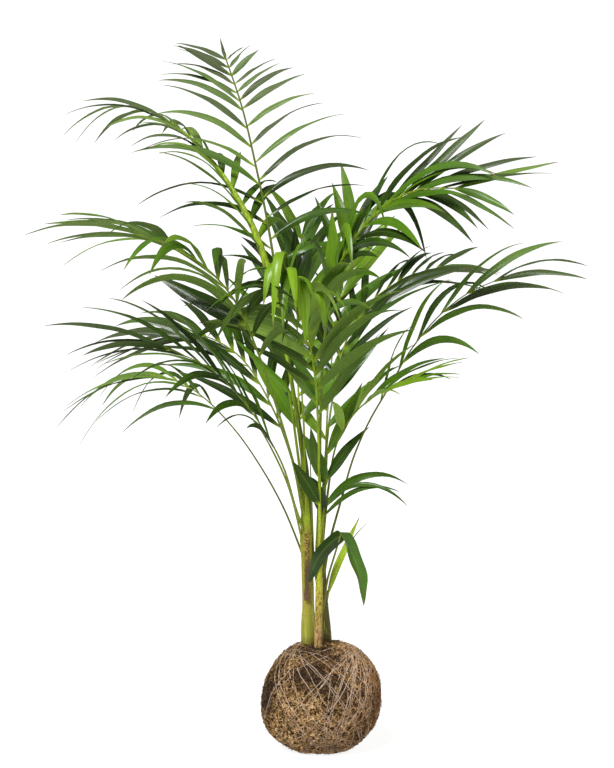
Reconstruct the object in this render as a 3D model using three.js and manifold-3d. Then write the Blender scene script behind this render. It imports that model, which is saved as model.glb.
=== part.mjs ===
// A feather palm growing from a ball of coir and roots that is wound with thread, with no pot.
// Millimetres, +Z up. The origin is the middle of the ball's flat foot, and the front is -Y.
import * as THREE from 'three';
import { mergeVertices } from 'three/addons/utils/BufferGeometryUtils.js';
import Module from 'manifold-3d';

const wasm = await Module();
wasm.setup();

// ---- driving dimensions ----
const CLEARANCE = 0.35; // between a piece and the hole or surface that it sits on
const BALL = { radius: 77, centreHeight: 70, crownHalf: 73, footHalf: 78.5, columns: 22, rows: 14 };
const BALL_DISH = { depth: 5, spread: 0.36 }; // the hollow round the stems; spread in radians from the top
const BALL_LUMP = 1.3;
const THREAD = { loops: 6, steps: 24, width: 2.0, height: 1.6, lift: 1.2 };
const THREAD_TOP_ANGLE = 25; // degrees from the top that the nearest loop keeps, clear of the canes
const THREAD_FOOT_ANGLE = 37; // degrees from straight down, clear of what the ball stands on
const CANE_SIDES = 8;
const STALK_STEPS = 12;
const SOCKET_STEPS = 4; // how many of those steps a socket follows its stalk
const BLADE_THICKNESS = 1.2;
const BLADE_STATIONS = { stiff: [0, 0.1, 0.5, 1], hanging: [0, 0.1, 0.4, 0.75, 1] };
const HANGING_FROM = 130; // a blade whose length times droop is more than this hangs
const BLADE_ROOT = { half: 0.7, thick: 0.4 }; // sunk in the stalk
const BLADE_FOLD = 0.1; // how far the rib stands above the edges, as a share of the blade's width
const BLADE_GAP = 0.6; // kept between blades of different fronds
const WIDEST_AT = 0.38; // along a blade, as a share of its length
const BLADE_FOOT = 0.26; // its width at the root, as a share of its full width
const BLADE_TAPER = 1.15; // how hollow the outline runs out to the tip
const ARC_STEPS = 20;
const TIP_SHARE = 0.985; // how far along its stalk a frond's last leaflets stand
const LONGEST_AT = 0.4; // where the longest leaflets stand, as a share of the leafy part
const SHORTENING = 1.2; // how late the leaflets shorten towards the tip
const STAGGER = 0.22; // how far a pair's two leaflets stand apart, as a share of the way to the next pair
// How much leaflets vary: shares of length, width and droop, and degrees.
const VARIED = { length: 0.1, width: 0.14, droop: 0.34, angle: 6, lift: 9, roll: 24 };
// A short leaflet keeps this share of its frond's width and droop.
const LEAST = { width: 0.6, droop: 0.45 };
const CANE_STEPS = 8;
const SIMPLIFIED = 0.01;
const HALVINGS = 24; // of the search for a height along a cane

// Canes: the way of the axis, and the radius at each of its points.
const CANES = {
  cane_left: {
    axis: [[-18, 0, 100], [-18, 0, 154], [-18, 0, 196], [-20, 1, 264], [-21, 2, 332]],
    radii: [9.2, 9.6, 7.9, 7.6, 7.4],
  },
  cane_middle: {
    axis: [[-5, -18, 100], [-5, -18, 149], [-4, -20, 199], [-3, -21, 250]],
    radii: [5.2, 5.4, 4.8, 5.4],
  },
  cane_right: {
    axis: [[9, 10, 100], [6, 10, 154], [1, 10, 209], [-2, 9, 282]],
    radii: [6.2, 6.0, 5.6, 6.0],
  },
};

// The dry brown sheath that wraps part of the left cane.
const SHEATH = {
  cane: 'cane_left', from: 196, to: 282, thickness: 1.0, gap: 0.65,
  middle: -97, halfArc: 60, footShare: 0.06, steps: 4, arcSteps: 4,
};

// Fronds: the stalk's way from its seat in a cane to its tip, the way its upper side faces, the share
// of it that is bare, its leaflet pairs with their width, the lengths of the first, the longest and the last
// leaflet, the angles in degrees from the stalk of the first and last pair, how far they rise from the
// frond's plane, how much the first and last pair droop, and how far gravity turns a leaflet's face up at
// its root and its tip. reachLeft and droopLeft are for the left side where it differs, skew turns both sides
// the same way, and sides names the sides of a leaf that isn't open yet.
const FRONDS = [
  {
    name: 'frond_crown',
    route: [[-17.5, 5.5, 310], [-20, 16, 366], [-38, 38, 471], [-54, 60, 578], [-72, 80, 688],
      [-89, 95, 770], [-108, 108, 850], [-133, 130, 925]],
    face: [0.1, -1, 0.25], bare: 0.49, pairs: 12, reach: [160, 150, 34], reachLeft: [85, 180, 72],
    width: 9.5, ahead: [48, 46], skew: 10, lift: 10, droop: [1.0, 0.7], turn: [0.35, 0.8],
  },
  {
    name: 'frond_upper_left',
    route: [[-18, -1.6, 310], [-23, -2, 359], [-37, 10, 459], [-56, 32, 564], [-82, 52, 660],
      [-115, 75, 727], [-154, 95, 782], [-195, 110, 822], [-238, 118, 845]],
    face: [0.55, -0.3, 0.8], bare: 0.5, pairs: 12, reach: [150, 125, 128], width: 11.5, ahead: [42, 14],
    lift: 16, droop: [1.0, 1.3], turn: [0.2, 0.9],
  },
  {
    name: 'frond_upper_right',
    route: [[-5.8, 8.1, 260], [-3, 4, 344], [-2, -8, 435], [2, -34, 526], [14, -66, 610], [41, -100, 662],
      [75, -130, 698], [115, -155, 715], [159, -175, 715]],
    face: [-0.4, -0.65, 0.55], bare: 0.42, pairs: 13, reach: [120, 168, 95], reachLeft: [150, 175, 118],
    width: 14.5, ahead: [30, 10], skew: 6, lift: 12, droop: [0.9, 0.9], droopLeft: [2.4, 0.3],
    turn: [0, 0.3],
  },
  {
    name: 'frond_far_right',
    route: [[0, 10, 212], [10, 1, 270], [25, -8, 327], [40, -16, 381], [60, -25, 429], [87, -35, 477],
      [111, -45, 520], [143, -55, 561], [180, -64, 592], [218, -72, 610]],
    face: [-0.5, -0.6, 0.7], bare: 0.52, pairs: 6, reach: [125, 150, 125], width: 13, ahead: [28, 9],
    lift: 12, droop: [1.2, 0.8], turn: [0, 0.6],
  },
  {
    name: 'frond_left_front',
    route: [[-24.4, -1.2, 310], [-36, -22, 371], [-58, -50, 450], [-82, -80, 523], [-106, -112, 580],
      [-136, -145, 618], [-170, -175, 642], [-214, -205, 660]],
    face: [0.45, 0.35, 0.8], bare: 0.42, pairs: 12, reach: [130, 180, 135], width: 14.5, ahead: [44, 12],
    lift: 20, droop: [1.3, 0.9], turn: [0, 0.6],
  },
  {
    name: 'frond_low_left_back',
    route: [[-21, 2, 240], [-29, 8, 263], [-51, 22, 314], [-79, 42, 362], [-113, 62, 409],
      [-154, 82, 451], [-193, 98, 476], [-228, 110, 485]],
    face: [0.4, -0.6, 0.8], bare: 0.68, pairs: 6, reach: [150, 175, 150], width: 12, ahead: [32, 10],
    lift: 12, droop: [1.6, 1.4], turn: [0, 0.8],
  },
  {
    name: 'frond_low_left_front',
    route: [[-21, -1, 278], [-34, -14, 316], [-50, -30, 372], [-77, -50, 425], [-110, -75, 471],
      [-145, -100, 503], [-189, -120, 525]],
    face: [0.4, -0.3, 0.85], bare: 0.42, pairs: 9, reach: [130, 175, 150], width: 14, ahead: [38, 10],
    lift: 12, droop: [1.7, 1.3], turn: [0, 0.7],
  },
  {
    name: 'frond_left_back',
    route: [[-24, 5.4, 310], [-36, 28, 365], [-63, 68, 436], [-103, 110, 501], [-151, 150, 534],
      [-207, 185, 543]],
    face: [0.3, -0.8, 0.5], bare: 0.36, pairs: 9, reach: [160, 200, 150], width: 18, ahead: [30, 8],
    lift: 6, droop: [0.7, 0.7], turn: [0, 0.4],
  },
  {
    name: 'frond_right_back',
    route: [[-3, 12.9, 260], [3, 32, 352], [13, 66, 443], [31, 100, 524], [65, 135, 581],
      [114, 165, 617], [169, 190, 636]],
    face: [-0.4, -0.6, 0.8], bare: 0.42, pairs: 11, reach: [130, 165, 95], width: 14.5, ahead: [36, 12],
    lift: 16, droop: [0.7, 0.7], turn: [0, 0.6],
  },
  {
    name: 'frond_low_right',
    route: [[-0.2, 8.1, 260], [9, 2, 345], [19, -18, 401], [42, -50, 443], [75, -82, 471],
      [111, -108, 487]],
    face: [-0.5, -0.1, 0.8], bare: 0.45, pairs: 6, reach: [120, 135, 80], width: 12.5, ahead: [28, 8],
    lift: 20, droop: [0.7, 0.5], turn: [0, 0.6],
  },
  {
    name: 'frond_centre_front',
    route: [[-3.4, -23.4, 234], [-3, -26, 287], [-4, -34, 372], [-7, -48, 462], [-12, -64, 507],
      [-20, -84, 548], [-31, -112, 585], [-45, -147, 612]],
    face: [0.1, 0.55, 0.8], bare: 0.4, pairs: 11, reach: [130, 165, 105], width: 15, ahead: [38, 22],
    lift: 22, droop: [0.35, 2.6], turn: [0, 0.5],
  },
  {
    name: 'frond_inner',
    route: [[-2.6, -17.6, 234], [-3, -13, 266], [2, -14, 311], [5, -14, 350], [7, -13, 389]],
    face: [0, -1, 0.2], bare: 0.5, pairs: 3, reach: [136, 95, 95], reachLeft: [70, 80, 70], width: 15,
    ahead: [24, 16], skew: 10, lift: 8, droop: [1.2, 0.1], turn: [0, 0.5],
  },
  {
    name: 'frond_back_left',
    route: [[-20, 2, 266], [-22, 14, 304], [-27, 50, 381], [-31, 92, 456], [-33, 134, 536],
      [-32, 172, 614], [-27, 202, 682]],
    face: [0.1, -0.8, 0.5], bare: 0.42, pairs: 9, reach: [120, 145, 110], width: 18, ahead: [42, 12],
    lift: 14, droop: [0.6, 1.8], turn: [0, 0.3],
  },
  {
    name: 'frond_back_right',
    route: [[-1, 10, 240], [2, 24, 278], [5, 58, 361], [9, 96, 448], [18, 134, 534], [32, 168, 618],
      [49, 194, 690]],
    face: [0, -0.8, 0.5], bare: 0.42, pairs: 9, reach: [120, 145, 105], width: 18, ahead: [42, 12],
    lift: 14, droop: [0.6, 1.6], turn: [0, 0.3],
  },
  {
    name: 'frond_forked',
    route: [[1.4, 6.9, 180], [7, -9, 222], [16, -30, 258], [24, -48, 288]],
    face: [0, -1, 0.2], bare: 0.97, pairs: 1, reach: [98, 98, 98], reachLeft: [84, 84, 84],
    width: 20, ahead: [142, 142], skew: -12, lift: 12, droop: [2.2, 2.2], droopLeft: [1.1, 1.1],
    turn: [0, 0.2],
  },
  {
    name: 'frond_bright',
    route: [[5, 12.6, 186], [11, 8, 214], [19, 2, 238], [30, -4, 262]],
    face: [-0.4, -1, 0.4], bare: 0.05, pairs: 1, reach: [84, 84, 84], sides: [1], width: 10,
    ahead: [2, 2], lift: 4, droop: [0.15, 0.15], turn: [0, 0.2],
  },
];
const STALK_RADII = { base: 2.6, bare: 1.9, tip: 1.05 };

// What a leaflet tries, in order, until it is clear of the other fronds: a shorter blade, and degrees that
// it is raised and swung.
const SHORTER = [1, 0.86, 0.7, 0.55];
const RAISED = [0, 9, -9, 18, -18, 28, -28];
const SWUNG = [0, 7, -7, 14, -14];

// ---- helpers ----
const UP = new THREE.Vector3(0, 0, 1);
const radians = THREE.MathUtils.degToRad;
const lerp = THREE.MathUtils.lerp;
const vector = (p) => new THREE.Vector3(...p);

// A repeatable number from -1 to 1 for one frond, leaflet and use.
function vary(frond, leaflet, use) {
  const seed = (frond * 7919 + leaflet * 4271 + use * 3253 + 1013) % 9973;
  return ((seed * seed + 37 * seed) % 9973) / 4986.5 - 1;
}

// A closed solid through rings of points, each going round the way of travel; the last may be one point.
// The quads' diagonals lean alike on both faces of a blade, so that a twisted one never cuts itself.
function loft(rings, isLoop = false) {
  const sides = rings[0].length;
  const points = rings.flat();
  const index = [];
  const spans = isLoop ? rings.length : rings.length - 1;
  for (let k = 0; k < spans; k++) {
    const here = k * sides;
    const next = ((k + 1) % rings.length) * sides;
    const isTip = rings[(k + 1) % rings.length].length === 1;
    for (let j = 0; j < sides; j++) {
      const j1 = (j + 1) % sides;
      if (isTip) index.push(here + j, here + j1, next);
      else if (j % 2) index.push(here + j, here + j1, next + j, here + j1, next + j1, next + j);
      else index.push(here + j, here + j1, next + j1, here + j, next + j1, next + j);
    }
  }
  if (!isLoop) {
    const last = (rings.length - 1) * sides;
    for (let j = 1; j < sides - 1; j++) {
      index.push(0, j + 1, j);
      if (rings.at(-1).length > 1) index.push(last, last + j, last + j + 1);
    }
  }
  const geometry = new THREE.BufferGeometry().setFromPoints(points);
  geometry.setIndex(index);
  return geometry;
}

function solidOf(geometry) {
  const bare = geometry.clone();
  bare.deleteAttribute('normal');
  bare.deleteAttribute('uv');
  const merged = mergeVertices(bare, 1e-4);
  return new wasm.Manifold(new wasm.Mesh({
    numProp: 3,
    vertProperties: merged.attributes.position.array,
    triVerts: new Uint32Array(merged.index.array),
  }));
}

function geometryOf(solid) {
  const { vertProperties, triVerts } = solid.getMesh();
  const geometry = new THREE.BufferGeometry();
  geometry.setAttribute('position', new THREE.BufferAttribute(vertProperties, 3));
  geometry.setIndex(new THREE.BufferAttribute(triVerts, 1));
  geometry.computeVertexNormals();
  return geometry;
}

// Rings of a round stalk or cane about a curve.
function tubeRings(curve, radiusAt, steps, sides) {
  return Array.from({ length: steps + 1 }, (_, k) => {
    const t = k / steps;
    const middle = curve.getPoint(t);
    const ahead = curve.getTangent(t);
    const across = new THREE.Vector3(0, 1, 0).cross(ahead).normalize();
    const over = ahead.clone().cross(across);
    return Array.from({ length: sides }, (_, j) => {
      const angle = (2 * Math.PI * j) / sides;
      return middle.clone()
        .addScaledVector(across, radiusAt(t) * Math.cos(angle))
        .addScaledVector(over, radiusAt(t) * Math.sin(angle));
    });
  });
}

const curveThrough = (points) => new THREE.CatmullRomCurve3(points.map(vector), false, 'catmullrom');

// The largest body of a solid, without the crumbs left between two sockets.
function largestBody(solid) {
  return solid.decompose().reduce((best, body) => (body.volume() > best.volume() ? body : best));
}

// ---- the ball ----
// The ball's surface in a direction: an uneven round body, hollowed round the stems.
function ballSurface(direction) {
  const { x, y, z } = direction;
  const half = z > 0 ? BALL.crownHalf : BALL.footHalf;
  const smooth = 1 / Math.hypot(x / BALL.radius, y / BALL.radius, z / half);
  const fromTop = Math.acos(THREE.MathUtils.clamp(z, -1, 1));
  const dish = BALL_DISH.depth * Math.exp(-((fromTop / BALL_DISH.spread) ** 2));
  const lump = Math.sin(4 * x + 5 * z + 1) * Math.cos(5 * y - 3 * z) + 0.6 * Math.sin(7 * y + 6 * x + 2);
  return smooth - dish + BALL_LUMP * lump;
}

function ballPoint(direction, lift = 0) {
  const point = direction.clone().multiplyScalar(ballSurface(direction) + lift);
  point.z += BALL.centreHeight;
  return point;
}

function makeBall(caneHoles) {
  const geometry = new THREE.SphereGeometry(1, BALL.columns, BALL.rows);
  geometry.rotateX(Math.PI / 2);
  const position = geometry.attributes.position;
  for (let i = 0; i < position.count; i++) {
    const point = ballPoint(new THREE.Vector3().fromBufferAttribute(position, i).normalize());
    position.setXYZ(i, point.x, point.y, Math.max(point.z, 0));
  }
  return caneHoles.reduce((ball, hole) => ball.subtract(hole), solidOf(geometry));
}

// ---- the thread ----
// One loop lies on a circle of the ball that keeps its angles from the top and from the foot.
function threadLoop(k) {
  const heading = (k * 2 * Math.PI) / THREAD.loops + 0.35 * vary(0, k, 1);
  const topAngle = radians(THREAD_TOP_ANGLE + 3 * (k % 3));
  const footAngle = radians(THREAD_FOOT_ANGLE + 4 * (k % 2));
  const out = new THREE.Vector3(Math.cos(heading), Math.sin(heading), 0);
  const high = out.clone().multiplyScalar(Math.sin(topAngle)).addScaledVector(UP, Math.cos(topAngle));
  const low = out.clone().multiplyScalar(-Math.sin(footAngle)).addScaledVector(UP, -Math.cos(footAngle));
  const middle = high.clone().add(low).multiplyScalar(0.5);
  const along = high.clone().sub(low).multiplyScalar(0.5);
  const side = new THREE.Vector3().crossVectors(UP, out);
  const reach = Math.sqrt(1 - middle.lengthSq());
  const rings = Array.from({ length: THREAD.steps }, (_, i) => {
    const angle = (2 * Math.PI * i) / THREAD.steps;
    const direction = middle.clone()
      .addScaledVector(along.clone().normalize(), reach * Math.cos(angle))
      .addScaledVector(side, reach * Math.sin(angle));
    const travel = along.clone().normalize().multiplyScalar(-Math.sin(angle))
      .addScaledVector(side, Math.cos(angle));
    direction.normalize();
    const across = travel.cross(direction).normalize().multiplyScalar(THREAD.width / 2);
    const inner = ballPoint(direction, THREAD.lift);
    return [
      ballPoint(direction, THREAD.lift + THREAD.height),
      inner.clone().add(across),
      inner.clone().sub(across),
    ];
  });
  return solidOf(loft(rings, true));
}

function makeThread() {
  const loops = Array.from({ length: THREAD.loops }, (_, k) => threadLoop(k));
  return wasm.Manifold.union(loops);
}

// ---- the canes and the sheath ----
const radiiThrough = (radii) => curveThrough(radii.map((radius) => [radius, 0, 0]));

function caneRings(cane, extra) {
  const radii = radiiThrough(cane.radii);
  const radiusAt = (t) => radii.getPoint(t).x + extra;
  return tubeRings(curveThrough(cane.axis), radiusAt, CANE_STEPS, CANE_SIDES);
}

function caneHole(cane) {
  const rings = caneRings(cane, CLEARANCE);
  rings.unshift(rings[0].map((p) => p.clone().setZ(p.z - CLEARANCE)));
  return solidOf(loft(rings));
}

function caneAt(cane, height) {
  const curve = curveThrough(cane.axis);
  let low = 0;
  let high = 1;
  for (let k = 0; k < HALVINGS; k++) {
    const t = (low + high) / 2;
    if (curve.getPoint(t).z < height) low = t;
    else high = t;
  }
  return { middle: curve.getPoint(low), radius: radiiThrough(cane.radii).getPoint(low).x };
}

// A part sleeve that narrows to a point at its foot.
function makeSheath() {
  const rings = Array.from({ length: SHEATH.steps + 1 }, (_, k) => {
    const share = k / SHEATH.steps;
    const { middle, radius } = caneAt(CANES[SHEATH.cane], lerp(SHEATH.from, SHEATH.to, share));
    const half = radians(SHEATH.halfArc * Math.sqrt(lerp(SHEATH.footShare, 1, share)));
    const inner = radius + SHEATH.gap;
    const arc = (r, sign) => Array.from({ length: SHEATH.arcSteps + 1 }, (_, j) => {
      const angle = radians(SHEATH.middle) + sign * half * ((2 * j) / SHEATH.arcSteps - 1);
      return new THREE.Vector3(r * Math.cos(angle), r * Math.sin(angle), 0).add(middle);
    });
    return [...arc(inner + SHEATH.thickness, 1), ...arc(inner, -1)];
  });
  return solidOf(sleeve(rings));
}

// As loft, for rings that are bent like a C: their ends are closed by strips between the two arcs.
function sleeve(rings) {
  const sides = rings[0].length;
  const body = loft(rings);
  const index = Array.from(body.index.array).slice(0, (rings.length - 1) * sides * 6);
  const last = (rings.length - 1) * sides;
  for (let j = 0; j < sides / 2 - 1; j++) {
    const opposite = sides - 1 - j;
    index.push(j, opposite, j + 1, j + 1, opposite, opposite - 1);
    index.push(last + j, last + j + 1, last + opposite, last + j + 1, last + opposite - 1, last + opposite);
  }
  body.setIndex(index);
  return body;
}

// ---- the fronds ----
function stalkRadius(frond, t) {
  const { base, bare, tip } = STALK_RADII;
  if (t < frond.bare) return lerp(base, bare, t / frond.bare);
  return lerp(bare, tip, (t - frond.bare) / (1 - frond.bare));
}

// The way a stalk runs at t, the way its upper side faces, and the way its right side faces.
function stalkFrame(frond, t) {
  const ahead = frond.curve.getTangent(t);
  const face = vector(frond.face);
  const over = face.addScaledVector(ahead, -face.dot(ahead)).normalize();
  return { ahead, over, across: new THREE.Vector3().crossVectors(ahead, over) };
}

// A stalk is square, with flat sides where the leaflets leave it, and straight from ring to ring.
function stalkSolid(frond, extra = 0, steps = STALK_STEPS) {
  const rings = Array.from({ length: steps + 1 }, (_, k) => {
    const t = k / STALK_STEPS;
    const { over, across } = stalkFrame(frond, t);
    const half = stalkRadius(frond, t) * Math.SQRT1_2 + extra;
    return [[1, 1], [1, -1], [-1, -1], [-1, 1]].map(([right, top]) => frond.curve.getPoint(t)
      .addScaledVector(across, right * half)
      .addScaledVector(over, top * half));
  });
  if (extra) rings.unshift(rings[0].map((p) => p.clone().setZ(p.z - extra)));
  return solidOf(loft(rings));
}

// The width of a blade at a share of its length, as a share of its full width.
function bladeShape(s) {
  if (s < WIDEST_AT) return lerp(BLADE_FOOT, 1, Math.sin((Math.PI / 2) * (s / WIDEST_AT)));
  return Math.cos((Math.PI / 2) * ((s - WIDEST_AT) / (1 - WIDEST_AT))) ** BLADE_TAPER;
}

// The length of a leaflet at a share of the leafy part, from those of the first, the longest and the last.
function reachAt([first, most, last], f) {
  const rise = Math.min(f / LONGEST_AT, 1);
  const fall = Math.max((f - LONGEST_AT) / (1 - LONGEST_AT), 0);
  return lerp(lerp(first, most, Math.sin((Math.PI / 2) * rise)), last, fall ** SHORTENING);
}

function stalkMiddle(frond, t) {
  const k = Math.min(Math.floor(t * STALK_STEPS), STALK_STEPS - 1);
  const from = frond.curve.getPoint(k / STALK_STEPS);
  return from.lerp(frond.curve.getPoint((k + 1) / STALK_STEPS), t * STALK_STEPS - k);
}

// Where one leaflet starts, the way it sets out, and its sizes.
function leafletPlan(frond, frondIndex, pair, side) {
  const f = frond.pairs > 1 ? pair / (frond.pairs - 1) : 0.5;
  const number = 2 * pair + (side > 0 ? 1 : 0);
  const varied = (amount, use) => amount * vary(frondIndex, number, use);
  const stagger = ((STAGGER * side) / frond.pairs) * (1 - frond.bare) * (1 - f);
  const t = Math.min(lerp(frond.bare, TIP_SHARE, f) + stagger, TIP_SHARE);
  const { ahead, over, across } = stalkFrame(frond, t);
  const reach = side < 0 && frond.reachLeft ? frond.reachLeft : frond.reach;
  const droop = side < 0 && frond.droopLeft ? frond.droopLeft : frond.droop;
  const length = reachAt(reach, f) * (1 + varied(VARIED.length, 1));
  const share = length / Math.max(...frond.reach);
  const skew = (frond.skew ?? 0) * side;
  return {
    start: stalkMiddle(frond, t),
    ahead,
    over,
    across: across.multiplyScalar(side),
    angle: lerp(...frond.ahead, f) + skew + varied(VARIED.angle, 2),
    lift: frond.lift + varied(VARIED.lift, 3),
    length,
    width: frond.width * lerp(LEAST.width, 1, share) * (1 + varied(VARIED.width, 4)),
    droop: lerp(...droop, f) * lerp(LEAST.droop, 1, share) * (1 + varied(VARIED.droop, 5)),
    roll: radians(varied(VARIED.roll, 6)),
    turn: frond.turn,
  };
}

// The rib of a leaflet as points, each with the way it runs and the way its upper side faces.
function leafletArc(plan, shorter, raised, swung) {
  const angle = radians(plan.angle + swung);
  const lift = radians(plan.lift + raised);
  const setOut = plan.ahead.clone().multiplyScalar(Math.cos(angle))
    .addScaledVector(plan.across, Math.sin(angle) * Math.cos(lift))
    .addScaledVector(plan.over, Math.sin(angle) * Math.sin(lift));
  const step = (plan.length * shorter) / ARC_STEPS;
  const arc = [];
  const place = plan.start.clone();
  for (let k = 0; k <= ARC_STEPS; k++) {
    const s = k / ARC_STEPS;
    const along = setOut.clone().addScaledVector(UP, -plan.droop * shorter * s).normalize();
    const facing = plan.over.clone().lerp(UP, lerp(...plan.turn, s));
    const normal = facing.addScaledVector(along, -facing.dot(along)).normalize();
    normal.applyAxisAngle(along, plan.roll);
    arc.push({ place: place.clone(), along, normal });
    place.addScaledVector(along, step);
  }
  return arc;
}

// A thin blade with a raised rib, four-sided until its tip. extra fattens it, for a test of clearance.
function bladeSolid(arc, width, stations, extra = 0) {
  const rings = stations.map((s) => {
    const { place, along, normal } = arc[Math.round(s * ARC_STEPS)];
    if (s === 1) return [place.clone().addScaledVector(along, extra)];
    const across = new THREE.Vector3().crossVectors(along, normal);
    const half = (s ? (width * bladeShape(s)) / 2 : BLADE_ROOT.half) + extra;
    const thick = (s ? BLADE_THICKNESS / 2 : BLADE_ROOT.thick) + extra;
    const edge = s ? -BLADE_FOLD * width * bladeShape(s) : 0;
    return [
      place.clone().addScaledVector(normal, thick),
      place.clone().addScaledVector(across, half).addScaledVector(normal, edge),
      place.clone().addScaledVector(normal, -thick),
      place.clone().addScaledVector(across, -half).addScaledVector(normal, edge),
    ];
  });
  return solidOf(loft(rings));
}

const boxesMeet = (a, b) => [0, 1, 2].every((i) => a.min[i] < b.max[i] && b.min[i] < a.max[i]);

class Obstacles {
  constructor(solids = []) {
    this.items = [];
    solids.forEach((solid) => this.add(solid));
  }

  add(solid) {
    this.items.push({ solid, box: solid.boundingBox() });
  }

  touch(probe) {
    const box = probe.boundingBox();
    return this.items.some((item) => boxesMeet(item.box, box) && !item.solid.intersect(probe).isEmpty());
  }
}

// The first way of laying a leaflet that is clear of everything else, or null.
function fitLeaflet(plan, others, siblings) {
  const stations = BLADE_STATIONS[plan.length * plan.droop > HANGING_FROM ? 'hanging' : 'stiff'];
  for (const shorter of SHORTER) {
    for (const raised of RAISED) {
      for (const swung of SWUNG) {
        const arc = leafletArc(plan, shorter, raised, swung);
        if (others.touch(bladeSolid(arc, plan.width, stations, BLADE_GAP))) continue;
        if (siblings.touch(bladeSolid(arc, plan.width, stations.slice(1), BLADE_GAP))) continue;
        return bladeSolid(arc, plan.width, stations);
      }
    }
  }
  return null;
}

function makeFronds(fixed) {
  FRONDS.forEach((frond) => {
    frond.curve = curveThrough(frond.route);
    frond.stalk = stalkSolid(frond);
  });
  const blades = [];
  return FRONDS.map((frond, index) => {
    const stalks = FRONDS.filter((other) => other !== frond).map((other) => other.stalk);
    const others = new Obstacles([...fixed, ...stalks, ...blades]);
    const siblings = new Obstacles();
    const own = [];
    for (let pair = frond.pairs - 1; pair >= 0; pair--) {
      for (const side of frond.sides ?? [1, -1]) {
        const blade = fitLeaflet(leafletPlan(frond, index, pair, side), others, siblings);
        if (!blade) continue;
        siblings.add(blade);
        own.push(blade);
      }
    }
    blades.push(...own);
    const solid = wasm.Manifold.union([frond.stalk, ...own]).simplify(SIMPLIFIED);
    return { name: frond.name, solid };
  });
}

// ---- the palm ----
const finish = (color, roughness) => new THREE.MeshStandardMaterial({ color, roughness, metalness: 0 });
const COIR = finish(0x6f5636, 0.95);
const TWINE = finish(0x9a8468, 0.85);
const CANE_GREEN = finish(0x8f9a3a, 0.55);
const CANE_STRAW = finish(0xb09548, 0.7);
const DRY_SHEATH = finish(0x6a4a2c, 0.8);
const LEAF_GREEN = finish(0x3f6a28, 0.45);
const YOUNG_GREEN = finish(0x86a832, 0.5);

const palm = new THREE.Group();

function place(name, solid, material) {
  const mesh = new THREE.Mesh(geometryOf(solid), material);
  mesh.name = name;
  palm.add(mesh);
}

const caneSolids = Object.fromEntries(
  Object.entries(CANES).map(([name, cane]) => [name, solidOf(loft(caneRings(cane, 0)))]),
);
const ball = makeBall(Object.values(CANES).map(caneHole));
const thread = makeThread();
const sheath = makeSheath();
const fronds = makeFronds([ball, thread, sheath, ...Object.values(caneSolids)]);
const sockets = FRONDS.map((frond) => stalkSolid(frond, CLEARANCE, SOCKET_STEPS));

place('root_ball', ball, COIR);
place('binding_thread', thread, TWINE);
Object.entries(caneSolids).forEach(([name, cane]) => {
  const seated = sockets.reduce((solid, socket) => solid.subtract(socket), cane);
  place(name, largestBody(seated), name === 'cane_middle' ? CANE_STRAW : CANE_GREEN);
});
place('dry_sheath', sheath, DRY_SHEATH);
fronds.forEach(({ name, solid }) => place(name, solid, name === 'frond_bright' ? YOUNG_GREEN : LEAF_GREEN));

export default palm;
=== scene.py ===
"""A feather palm with its roots in a thread-bound ball of coir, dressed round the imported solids.

Every piece stands where its solid stands. Lengths are in millimetres and become metres when a mesh is
made, but the finishes, which look up places on the piece, and the stage are in metres.
"""

import math
import random

import bpy
import numpy as np
from bpy.props import FloatProperty, FloatVectorProperty, IntProperty, PointerProperty
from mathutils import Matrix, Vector, noise


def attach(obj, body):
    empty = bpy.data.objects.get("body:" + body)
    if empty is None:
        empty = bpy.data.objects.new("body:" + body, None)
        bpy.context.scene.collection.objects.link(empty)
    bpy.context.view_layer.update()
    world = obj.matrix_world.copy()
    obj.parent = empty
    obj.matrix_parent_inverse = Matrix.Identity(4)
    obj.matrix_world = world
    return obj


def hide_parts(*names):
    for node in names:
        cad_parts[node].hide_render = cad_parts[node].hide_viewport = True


bl_info = {
    "name": "Thread-bound palm",
    "version": (1, 0, 0),
    "blender": (4, 5, 0),
    "location": "View3D > Sidebar > Palm",
    "description": "Dresses the solids of a feather palm with coir, thread, canes and fronds",
    "category": "Object",
}

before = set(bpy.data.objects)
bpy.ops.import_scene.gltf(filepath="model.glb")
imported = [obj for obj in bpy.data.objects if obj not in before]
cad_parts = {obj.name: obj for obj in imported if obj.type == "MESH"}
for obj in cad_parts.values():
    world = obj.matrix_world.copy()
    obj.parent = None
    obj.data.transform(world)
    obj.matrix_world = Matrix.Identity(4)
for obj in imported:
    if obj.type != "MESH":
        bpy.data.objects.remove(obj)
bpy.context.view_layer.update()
BODY = "root"
MM = 0.001
UP = np.array([0.0, 0.0, 1.0])

# ---- the solids' own measures, in millimetres ----
BALL_RADIUS = 77.0
BALL_CENTRE_HEIGHT = 70.0
BALL_CROWN_HALF = 73.0
BALL_FOOT_HALF = 78.5
BALL_DISH_DEPTH = 5.0
BALL_DISH_SPREAD = 0.36
BALL_LUMP = 1.3
# lobes that the photo shows: height, the way from the ball's middle, and spread in radians
BALL_SLOPE = (-3.2, (-0.72, -0.2, 0.66), 0.4)
BALL_CORNER = (4.4, (-0.84, -0.25, -0.48), 0.34)

CANES = {
    "cane_left": {
        "axis": [(-18, 0, 100), (-18, 0, 154), (-18, 0, 196), (-20, 1, 264), (-21, 2, 332)],
        "radii": [9.2, 9.6, 7.9, 7.6, 7.4],
        "rings": [176, 241, 283],
    },
    "cane_middle": {
        "axis": [(-5, -18, 100), (-5, -18, 149), (-4, -20, 199), (-3, -21, 250)],
        "radii": [5.2, 5.4, 4.8, 5.4],
        "rings": [139, 171, 214],
    },
    "cane_right": {
        "axis": [(9, 10, 100), (6, 10, 154), (1, 10, 209), (-2, 9, 282)],
        "radii": [6.2, 6.0, 5.6, 6.0],
        "rings": [150, 187, 230],
    },
}

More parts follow.
